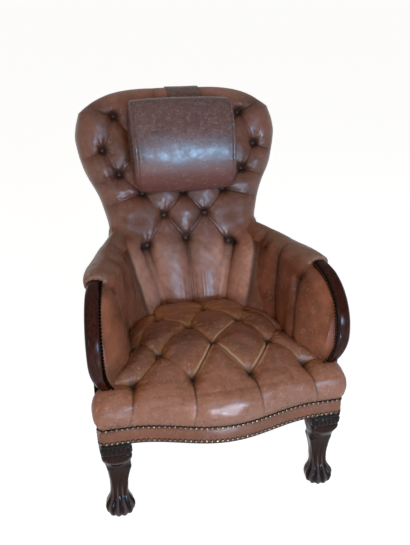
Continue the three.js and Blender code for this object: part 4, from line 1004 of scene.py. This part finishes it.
def arm_front_place(u, v):
    """The bent arm front, rounded in front, with a groove along each edge, and its foot on the rail."""
    c, s = around(u)
    side = signed(c, 0.5)
    reach = np.where(s > 0, np.abs(s) ** 0.85, -np.abs(s) ** 0.35) * 0.5
    quirk = bell(np.abs(side), 0.8, 0.09) * (s > 0)
    along = np.clip(v / FOOT_FROM, 0, 1)
    slim = 1 - 0.25 * np.maximum(0, 4 * along - 3) - 0.15 * np.maximum(0, 1 - 5 * along)
    slim = slim * np.sqrt(1 - (1 - np.clip(along / 0.025, 0.02, 1)) ** 2)
    angle = ARC_START - 2 + along * (ARC_END - ARC_START + 2)
    bent = facing(angle, side * FACING_HALF * slim, reach * FACING_THICK * slim - 1.6 * quirk)
    end = facing(np.array([float(ARC_END)]), 0, 0)[0]
    drop = end[2] - RAIL_TOP - ON_RAIL
    y = end[1] + drop * math.tan(math.radians(ARC_END))
    x = float(side_x(np.array(y))) - RAIL_INSET - FOOT_HALF
    standing = stack(x + side * FOOT_HALF, y - reach * 2 * FOOT_HALF, RAIL_TOP + ON_RAIL)
    foot = np.clip((v - FOOT_FROM) / 0.1, 0, 1)[:, None]
    edge = ease(0.72, 0.95, np.abs(side)) * (s > -0.5)
    wear = np.clip(0.35 + edge * 0.65 + 0.4 * ease(0.7, 0.95, v), 0, 1)
    return bent + (standing - bent) * foot, (0.8 * quirk, wear, 0 * u)


arm_front = turned(40, 110, arm_front_place)
on_both_sides(arm_front, "scroll_front", MAHOGANY, "arm_front")

arc_length = math.radians(ARC_END - ARC_START - 9) * (ARC_RADIUS + 8)
arm_nail_angles = np.linspace(ARC_START + 6, ARC_END - 3, round(arc_length / ARM_NAIL_PITCH))
arm_nail_spots = [(point, (-1, 0, 0)) for point in facing(arm_nail_angles, -FACING_HALF + 0.6, 10)]
arm_nails = studs(arm_nail_spots, ARM_NAIL_RADIUS, ARM_NAIL_RISE)
on_both_sides(arm_nails, "arm_nails", BRASS, "arm_nail_row")


# Border band with its nails

BAND_THICK = 2.9
NAIL_PITCH = 13.3
NAIL_RADIUS = 5.4
NAIL_RISE = 3.6
NAIL_END = 6
NAIL_EDGE = 4.5
REAR_BAND_HALF = REAR_LEG_X - 25.3
REAR_BAND_THICK = 2.7


def band_line():
    """Outer line of the border band from the left rear leg round the front to the right one, closely stepped."""
    bow = np.linspace(0, BOW_HALF, 60)
    turn = np.linspace(0, math.pi / 2, 10)
    end = REAR_Y - 62
    x = np.concatenate([bow, [SEAT_HALF - CORNER_RADIUS], SEAT_HALF - CORNER_RADIUS * (1 - np.sin(turn[1:])),
                        [SEAT_HALF, float(side_x(np.array(end)))]])
    y = np.concatenate([front_y(bow), [FRONT_Y], FRONT_Y + CORNER_RADIUS * (1 - np.cos(turn[1:])),
                        [SIDE_START, end]])
    return np.concatenate([-x[:0:-1], x]), np.concatenate([y[:0:-1], y])


BAND_X, BAND_Y = band_line()
BAND_STEPS = np.concatenate([[0], np.cumsum(np.hypot(np.diff(BAND_X), np.diff(BAND_Y)))])
BAND_LENGTH = BAND_STEPS[-1]


def on_band(run, out, z):
    """Point at that run along the band, out from its face."""
    def line(d):
        return np.interp(d, BAND_STEPS, BAND_X), np.interp(d, BAND_STEPS, BAND_Y)
    x, y = line(run)
    ax, ay = line(run - 3)
    bx, by = line(run + 3)
    length = np.hypot(bx - ax, by - ay)
    return stack(x + out * (by - ay) / length, y - out * (bx - ax) / length, z)


def band_place(u, v):
    """The band, puffed between its two rows of nails and dark along them."""
    run = u * BAND_LENGTH
    puff = np.sin(math.pi * np.clip((v - 0.16) / 0.68, 0, 1))
    out = 1.5 * puff + 0.4 * ripple(run, v * 40, 60) * puff
    dark = 0.6 * bell(np.abs(v - 0.5), 0.41, 0.1)
    return on_band(run, out, RAIL_BOTTOM + v * (BAND_TOP - RAIL_BOTTOM)), (0 * u, 0.3 + 0.4 * puff, dark)


band = panel(440, 12, band_place, BAND_THICK)
finished(band, "seat_border", BAND_LEATHER, ("border_band",))

nail_runs = np.linspace(NAIL_END, BAND_LENGTH - NAIL_END, round(BAND_LENGTH / NAIL_PITCH))
for name, height in (("upper_nail", BAND_TOP - NAIL_EDGE), ("lower_nail", RAIL_BOTTOM + NAIL_EDGE)):
    inner = on_band(nail_runs, 0, height)
    outer = on_band(nail_runs, 1, height)
    row = studs([(a, b - a) for a, b in zip(inner, outer)], NAIL_RADIUS, NAIL_RISE)
    finished(row, name + "s", BRASS, (name + "_row",))


def rear_band_place(u, v):
    """Leather over the back rail, between the rear legs."""
    puff = stuffed(u, v)
    z = RAIL_BOTTOM + v * (RAIL_TOP + 2 - RAIL_BOTTOM)
    x = (1 - 2 * u) * REAR_BAND_HALF
    return stack(x, REAR_Y - 0.2 + 1.2 * puff, z), (0 * u, 0.4 * puff, 0.4 - 0.4 * puff)


rear_band = panel(60, 14, rear_band_place, REAR_BAND_THICK)
finished(rear_band, "rear_border", BAND_LEATHER, ("rear_band",))


# Legs

leg_half = curve((0, 19), (4, 26), (10, 31.5), (18, 35), (28, 36), (38, 33), (46, 28.5), (54, 24.5), (62, 21.5),
                 (74, 19.8), (90, 19), (105, 19.2), (135, 22.5), (158, 27), (166, 30), (172, 33), (178, 34.5),
                 (196, 35), (200, 33.5), (204, 35.2), (222, 35.4), (225, 33.8), (228, 35.4), (236, 35.4))
leg_power = curve((0, 2.2), (34, 2.4), (66, 2.8), (84, 3.5), (105, 4), (135, 5), (158, 6), (176, 7), (210, 9),
                  (236, 12))
leg_forward = curve((0, -7), (5, -8), (18, -8), (34, -7), (50, -5), (66, -2), (84, 0), (236, 0))
leg_wide = curve((0, 0.03), (40, 0.06), (70, 0.16), (90, 0.24), (120, 0.29), (150, 0.3), (176, 0.15), (210, 0.13),
                 (236, 0.12))
LEG_TOP = 235.7
LEG_LEAN = 9
TOE_WAVES = 6
REED_WAVES = 3.5
REEDS_DEEP = 1.4

# Share of the grid where the block in the frame starts, and its rounded square
BLOCK_FROM = 0.925
BLOCK_HALF = 31.7
BLOCK_POWER = 5.5


def leg_place(u, v):
    """A front leg: paw with toes and claws, tendons, scalloped knee, reeded band, and the block in the frame."""
    angle = 2 * math.pi * u
    c, s = np.cos(angle), np.sin(angle)
    z = np.clip(v / 0.92, 0, 1) * LEG_TOP
    block = v > BLOCK_FROM
    face = np.minimum(np.abs(c), np.abs(s)) / np.maximum(np.abs(c), np.abs(s))
    knee = ease(148, 160, z) * (1 - ease(182, 196, z))
    scallop = z - 15 * face ** 2 * knee
    front = np.clip(-s * 3, 0, 1)
    ridge = np.abs(np.sin(TOE_WAVES * (angle - math.pi)))
    paw = 1 - ease(40, 72, z)
    toes = 0.13 * paw * (ridge ** 0.7 - 0.45) * front
    claw = 1.8 * bell(z, 9, 6) * ridge ** 4 * front
    knuckle = 1.8 * bell(z, 38, 9) * ridge ** 2 * front
    tendon = 1.1 * ease(56, 80, z) * (1 - ease(115, 140, z)) * (ridge - 0.5) * front
    carved = ease(203, 207, z) * (1 - ease(219, 223, z))
    reeds = REEDS_DEEP * carved * np.cos(2 * math.pi * REED_WAVES * face)
    reach = squared(c, s, leg_power(z)) * leg_half(scallop) * (1 + toes) + claw + knuckle + tendon + reeds
    reach = np.where(block, squared(c, s, BLOCK_POWER) * BLOCK_HALF, reach)
    z = np.where(block, np.where(v > 0.96, RAIL_TOP, LEG_TOP), z)
    lean = -LEG_LEAN * (1 - np.minimum(z, RAIL_BOTTOM) / RAIL_BOTTOM)
    # Painted shade over the whole leg; darker still in the carved grooves, with dirt, and in a band at the top
    groove = np.clip(0.4 + paw * (1 - ridge) ** 1.3 * front + bell(z, 200, 2) + bell(z, 225, 2)
                     + 0.9 * bell(scallop, 164, 3) + 0.6 * carved * (reeds < -0.3)
                     + 0.8 * ease(227, 231, z), 0, 1)
    wear = np.clip(0.3 + 0.7 * carved, 0, 1)
    # Painted pale highlight along the ledge, the toe ridges and the claw tips
    ledge_highlight = bell(scallop, 174, 2.5) * (1 - face) * front
    tips = bell(z, 10, 7) * front
    worn = np.clip(np.clip((ridge - 0.7) / 0.3, 0, 1) * front * (1 - ease(70, 105, z)) * (0.35 + 0.4 * tips)
                   + 0.5 * ledge_highlight, 0, 1)
    wide = np.where(block, 0, leg_wide(z))
    x = LEG_X + lean + reach * (c * (1 + wide) - wide)
    return stack(x, LEG_Y + leg_forward(z) + reach * s, z), (groove, wear, worn)


leg = turned(96, 140, leg_place)
on_both_sides(leg, "paw_leg", MAHOGANY, "front_leg")


def rear_leg_place(u, v):
    """A rear leg: square, tapered and swept back."""
    c, s = around(u)
    z = v * RAIL_TOP
    share = np.clip(z / LEG_TOP, 0, 1)
    half = 17 + 8 * share
    round_off = squared(c, s, 6 + 14 * share)
    sweep = REAR_LEG_SWEEP * (1 - share) ** 2
    edge = ease(1.1, 1.35, round_off)
    return stack(REAR_LEG_X + half * round_off * c, REAR_LEG_Y + sweep + half * round_off * s, z), (
        0 * u, 0.2 + 0.8 * edge * (1 - share), 0 * u)


rear_leg = turned(48, 50, rear_leg_place)
on_both_sides(rear_leg, "swept_leg", MAHOGANY, "rear_leg")


# Headrest

HEAD_SEAM = 142.0
HEAD_OFFSET = -5
HEAD_REAR = 85.7
HEAD_HALF_HEIGHT = 135
HEAD_FRONT_SWELL = 68
HEAD_BACK_SWELL = 26

# Share of the half width where the gusset starts, and how far it swells out
GUSSET_FROM = 0.8
GUSSET_SWELL = 13

STRAP_HALF = 50
STRAP_BEHIND = -14
POUCH_HALF_WIDTH = 75
POUCH_HALF_HEIGHT = 46
POUCH_HALF_DEPTH = 10.6


def headrest_place(u, v):
    """The headrest: a plump cushion with a piped seam and a gusset at each end, flatter behind."""
    c, s = around(u)
    across = 2 * v - 1
    flat = np.clip(across / GUSSET_FROM, -1, 1)
    gusset = np.clip((np.abs(across) - GUSSET_FROM) / 0.2, 0, 1) * math.pi / 2
    plump = (0.95 + 0.05 * np.sqrt(1 - flat ** 2)) * np.cos(gusset) ** 0.55
    up = signed(s, 0.88) * plump * HEAD_HALF_HEIGHT
    swell = np.where(c > 0, np.abs(c) ** 0.92 * (1 - 0.04 * s) * HEAD_FRONT_SWELL,
                     -np.abs(c) ** 0.45 * HEAD_BACK_SWELL)
    corner = 1 - np.sqrt(1 - np.clip((-88 - up) / 47, 0, 1) ** 2)
    taper = 1 - 0.02 * ease(40, -HEAD_HALF_HEIGHT, up) - 0.11 * corner
    x = (flat * HEAD_SEAM + np.sign(across) * GUSSET_SWELL * np.sin(gusset)) * taper - 0.03 * up
    from_seam = np.abs(np.abs(across) - GUSSET_FROM)
    groove = bell(from_seam, 0, 0.012)
    piping = bell(from_seam, 0.025, 0.014)
    near_seam = np.exp(-(HEAD_SEAM - np.abs(flat) * HEAD_SEAM) / 16)
    gathers = near_seam * np.sin(up * 0.33 + 1.2 * np.sin(up * 0.09)) * 0.8
    uneven = 0.6 * ripple(x, up, 150, 0.4) * (c > -0.2)
    proud = 1.0 + (-1.4 * groove + 0.3 * piping + 0.45 * gathers + uneven) / 66
    n = HEAD_REAR + 26.3 + plump * swell * proud + 0.13 * up * np.clip(c + 0.6, 0, 1)
    wear = np.clip(0.2 + 0.75 * ease(-30, 80, up), 0, 1)
    # Painted shade over the lower part of the cushion
    painted_shade_below = 0.8 * (1 - ease(-115, -15, up))
    return leaning(HEAD_OFFSET + x, HEADREST_RISE + up, n), (painted_shade_below, wear, 0.5 * groove)


finished(turned(150, 120, headrest_place), "headrest_pillow", HEAD_LEATHER, ("headrest_cushion",))

strap_run = np.cumsum([0, 30, 33, 32, 33, 25, 20, 38, 100, 95])
strap_rise = curve(*zip(strap_run, (672, 700, 727, 747, 757.5, 752, 737, 700, 600, 505)))
strap_out = curve(*zip(strap_run, (98, 88, 72, 48, 20, -2, -12.5) + 3 * (STRAP_BEHIND,)))


def strap_place(u, v):
    """The strap from behind the headrest over the crest and down the outside of the back."""
    run = v * strap_run[-1]
    across = 2 * u - 1
    hem = bell(np.abs(across), 0.92, 0.03)
    sag = 1.2 * ripple(across * STRAP_HALF, run, 70, 0.3)
    return leaning(STRAP_OFFSET - STRAP_HALF * across, strap_rise(run), strap_out(run) - 0.6 * hem + sag), (
        0 * u, 0.75 + 0.25 * np.abs(across), 0.35 * hem)


strap = panel(30, 120, strap_place, LEATHER_THICK)
finished(strap, "crest_strap", HEAD_LEATHER, ("headrest_strap",))


def pouch_place(u, v):
    """The weighted pouch at the rear end of the strap."""
    c, s = around(u)
    across = 2 * v - 1
    plump = (1 - np.abs(across) ** 4) ** 0.5 * 0.3 + 0.7 * np.clip((1 - np.abs(across)) * 9, 0, 1) ** 0.5
    up = signed(s, 0.7) * POUCH_HALF_HEIGHT * plump
    out = signed(c, 0.7) * POUCH_HALF_DEPTH * plump * (1 - 0.25 * s)
    middle = BACK_SHOULDER + BACK_CREST - STRAP_DROP - POUCH_HALF_HEIGHT - 0.3
    return leaning(STRAP_OFFSET + across * POUCH_HALF_WIDTH, middle + up, STRAP_BEHIND + out), (
        0 * u, 0.4 + 0 * u, 0.4 * bell(s, 0, 0.1))


finished(turned(48, 50, pouch_place), "weight_pouch", HEAD_LEATHER, ("headrest_pouch",))


# Outside leather and dust cloth

CLOTH_THICK = 0.9
CLOTH_REAR = 99.7

# Half widths of the dust cloth between the front legs and between the rear legs, and where the latter starts
CLOTH_FRONT_HALF = 240
CLOTH_REAR_HALF = 181.7
REAR_LEGS_FROM = 52


def outside_arm_place(u, v):
    """Leather outside the arm. Near its foot it runs on under the arm front."""
    z = BAND_TOP + 0.6 + v * (ARM_TOP - ARM_ROLL - 3 - BAND_TOP - 0.6)
    front = arm_front_y(z) + FACING_THICK / 2 + 4 - 20 * (1 - ease(376, 396, z))
    y = front + u * (rear_plane_y(z) - 1 - front)
    lower = side_x(y)
    upper = np.minimum(arm_outer_x(y) - 12, lower + 6)
    puff = stuffed(u, v)
    x = lower + (upper - lower) * v + 0.3 + puff * (2.2 + 1.2 * ripple(y, z, 140, 0.6))
    return stack(x, y, z), (0 * u, 0.25 + 0.4 * puff, 0.35 * hemmed(u, v, 0.12))


outside_arm = panel(70, 60, outside_arm_place, LEATHER_THICK)
on_both_sides(outside_arm, "outer_arm", ARM_LEATHER, "outside_arm")


def outside_back_place(u, v):
    """Leather outside the back, from the rail up to the crest."""
    across = 1 - 2 * u
    guess = back_top(across * CREST_HALF) - SKIN - 2
    s = 6 + v * (guess - 6)
    wide = np.where(s > BACK_SHOULDER, CREST_HALF, back_side(s))
    half = np.where(s < 366, np.maximum(wide, REAR_HALF - 7), wide) - SKIN
    puff = stuffed(u, v)
    n = -3 - puff * (2.0 + 1.3 * ripple(across * half, s, 170, 0.3))
    return leaning(across * half, s, n), (0 * u, 0.25 + 0.4 * puff, 0.35 * hemmed(u, v, 0.1))


outside_back = panel(90, 110, outside_back_place, LEATHER_THICK)
finished(outside_back, "outer_back", BACK_LEATHER, ("outside_back",))


def bottom_cloth_place(u, v):
    """Dust cloth tacked under the rails: it runs between the front legs and between the rear legs, and sags."""
    flat_front = FRONT_Y + 9.3
    row = flat_front + v * (CLOTH_REAR - flat_front)
    beside = np.where(row < REAR_LEGS_FROM, side_x(row) - 8.3, CLOTH_REAR_HALF)
    half = np.where(row < SIDE_START, CLOTH_FRONT_HALF, beside)
    across = 2 * u - 1
    x = across * half
    y = row + (front_y(x) - FRONT_Y) * np.clip(1 - (row - flat_front) / 60, 0, 1)
    inside = (1 - across ** 2) * np.sin(math.pi * v)
    z = RAIL_BOTTOM - 2.8 - inside * (5 + 0.8 * ripple(x, y, 120, 0.5))
    return stack(x, y, z), (0 * u, 0 * u, 0 * u)


bottom_cloth = panel(80, 110, bottom_cloth_place, -CLOTH_THICK)
finished(bottom_cloth, "bottom_cloth", DUST_CLOTH, ("dust_cover",))


# Camera, floor and light

# The camera was solved from the photo: its focal length in pixels of a photo of that height
FOCAL_PIXELS = 660
PHOTO_HEIGHT = 545
SENSOR_MM = 36
CAMERA_TURN = math.radians(-13)
CAMERA_CLIMB = math.radians(23.05)
CAMERA_DISTANCE = 1.8
AIM_Y = -106
AIM_Z = 584
FLOOR_HALF = 150


def aimed(data, place, target):
    """An object for a camera or lamp, at a place and turned to a target."""
    made = placed(data.name, data)
    made.location = place
    made.rotation_euler = (Vector(target) - Vector(place)).to_track_quat("-Z", "Y").to_euler()
    return made


def lamp(name, place, target, wide, high, watts, color):
    """A glowing rectangle, like a window."""
    data = bpy.data.lights.new(name, "AREA")
    data.shape = "RECTANGLE"
    data.size, data.size_y = wide, high
    data.energy = watts
    data.color = color
    return aimed(data, place, target)


aim = Vector((0, (AIM_Y + SHIFT) / 1000, AIM_Z / 1000))
level = math.cos(CAMERA_CLIMB)
back_off = Vector((math.sin(CAMERA_TURN) * level, -math.cos(CAMERA_TURN) * level, math.sin(CAMERA_CLIMB)))
view = bpy.data.cameras.new("camera")
view.lens = SENSOR_MM * FOCAL_PIXELS / PHOTO_HEIGHT
bpy.context.scene.camera = aimed(view, aim + back_off * CAMERA_DISTANCE, aim)

lamp("window", (0.72, -2.95, 0.85), (0, 0, 0.62), 0.8, 0.34, 66, (0.35, 0.65, 1.0))
lamp("side_window", (-2.1, -2.1, 1.1), (0.1, 0, 0.6), 0.3, 0.45, 7, (0.78, 0.9, 1.0))
fill = lamp("front_fill", aim + back_off * 2.0 + Vector((0, 0, 0.1)), aim, 1.6, 1.0, 20.5, (1.0, 0.88, 0.76))
fill.visible_glossy = False
sheen = lamp("low_window", (0.12, -1.35, 0.06), (0.06, -0.37, 0.33), 0.3, 0.12, 0.8, (0.5, 0.75, 1.0))
sheen.data.spread = math.radians(34)
sheen.visible_diffuse = False
lamp("ceiling", (-0.4, -0.6, 2.9), (0, 0, 0.4), 2.4, 2.4, 3, (1.0, 0.94, 0.86))


def seen_or_mirrored(tree):
    """1 for what the camera sees straight on, or in something shiny or clear."""
    path = add(tree, "LightPath").outputs
    shiny = maths(tree, "MAXIMUM", path["Is Glossy Ray"], path["Is Transmission Ray"])
    return maths(tree, "MAXIMUM", path["Is Camera Ray"], shiny)


world = bpy.data.worlds.new("studio")
bpy.context.scene.world = world
world.use_nodes = True
sky = world.node_tree
sky.nodes.clear()
soft = add(sky, "Background", {"Color": (1.0, 0.97, 0.93, 1), "Strength": 0.2})
way = add(sky, "SeparateXYZ", {"Vector": add(sky, "TexCoord").outputs["Generated"]})
overhead = ranged(sky, way.outputs["Z"], 0.02, 0.3, 1.0, 0.5)
white = add(sky, "Background", {"Color": (1, 1, 1, 1), "Strength": overhead})
seen = add(sky, "MixShader", {0: seen_or_mirrored(sky), 1: soft.outputs[0], 2: white.outputs[0]})
add(sky, "OutputWorld", {"Surface": seen.outputs[0]})

pale, tree = blank("pale_floor")
matt = add(tree, "BsdfDiffuse", {"Color": srgb("#d8d6d3")})
lift = add(tree, "Emission", {"Color": (1, 1, 1, 1), "Strength": 0.84})
glow = add(tree, "AddShader", {0: matt.outputs[0], 1: lift.outputs[0]})
shown = add(tree, "MixShader", {0: seen_or_mirrored(tree), 1: matt.outputs[0], 2: glow.outputs[0]})
add(tree, "OutputMaterial", {"Surface": shown.outputs[0]})
ground = bmesh.new()
bmesh.ops.create_grid(ground, x_segments=1, y_segments=1, size=FLOOR_HALF)
floor = meshed(ground, "floor", pale)

# Finishes of the pieces that stay as the frame gives them
SLOT_FINISH = {"beech": BEECH, "mahogany": MAHOGANY, "leather": ARM_LEATHER, "leather_dark": BAND_LEATHER,
               "brass": BRASS, "steel": STEEL, "jute": JUTE, "black_cloth": DUST_CLOTH}
for part in frame["record"]["subparts"]:
    node = frame["nodes"][part["node"]]
    node.data.materials.clear()
    node.data.materials.append(SLOT_FINISH[part["material_slot"]])

bpy.context.scene.view_settings.view_transform = "Standard"
bpy.context.view_layer.update()
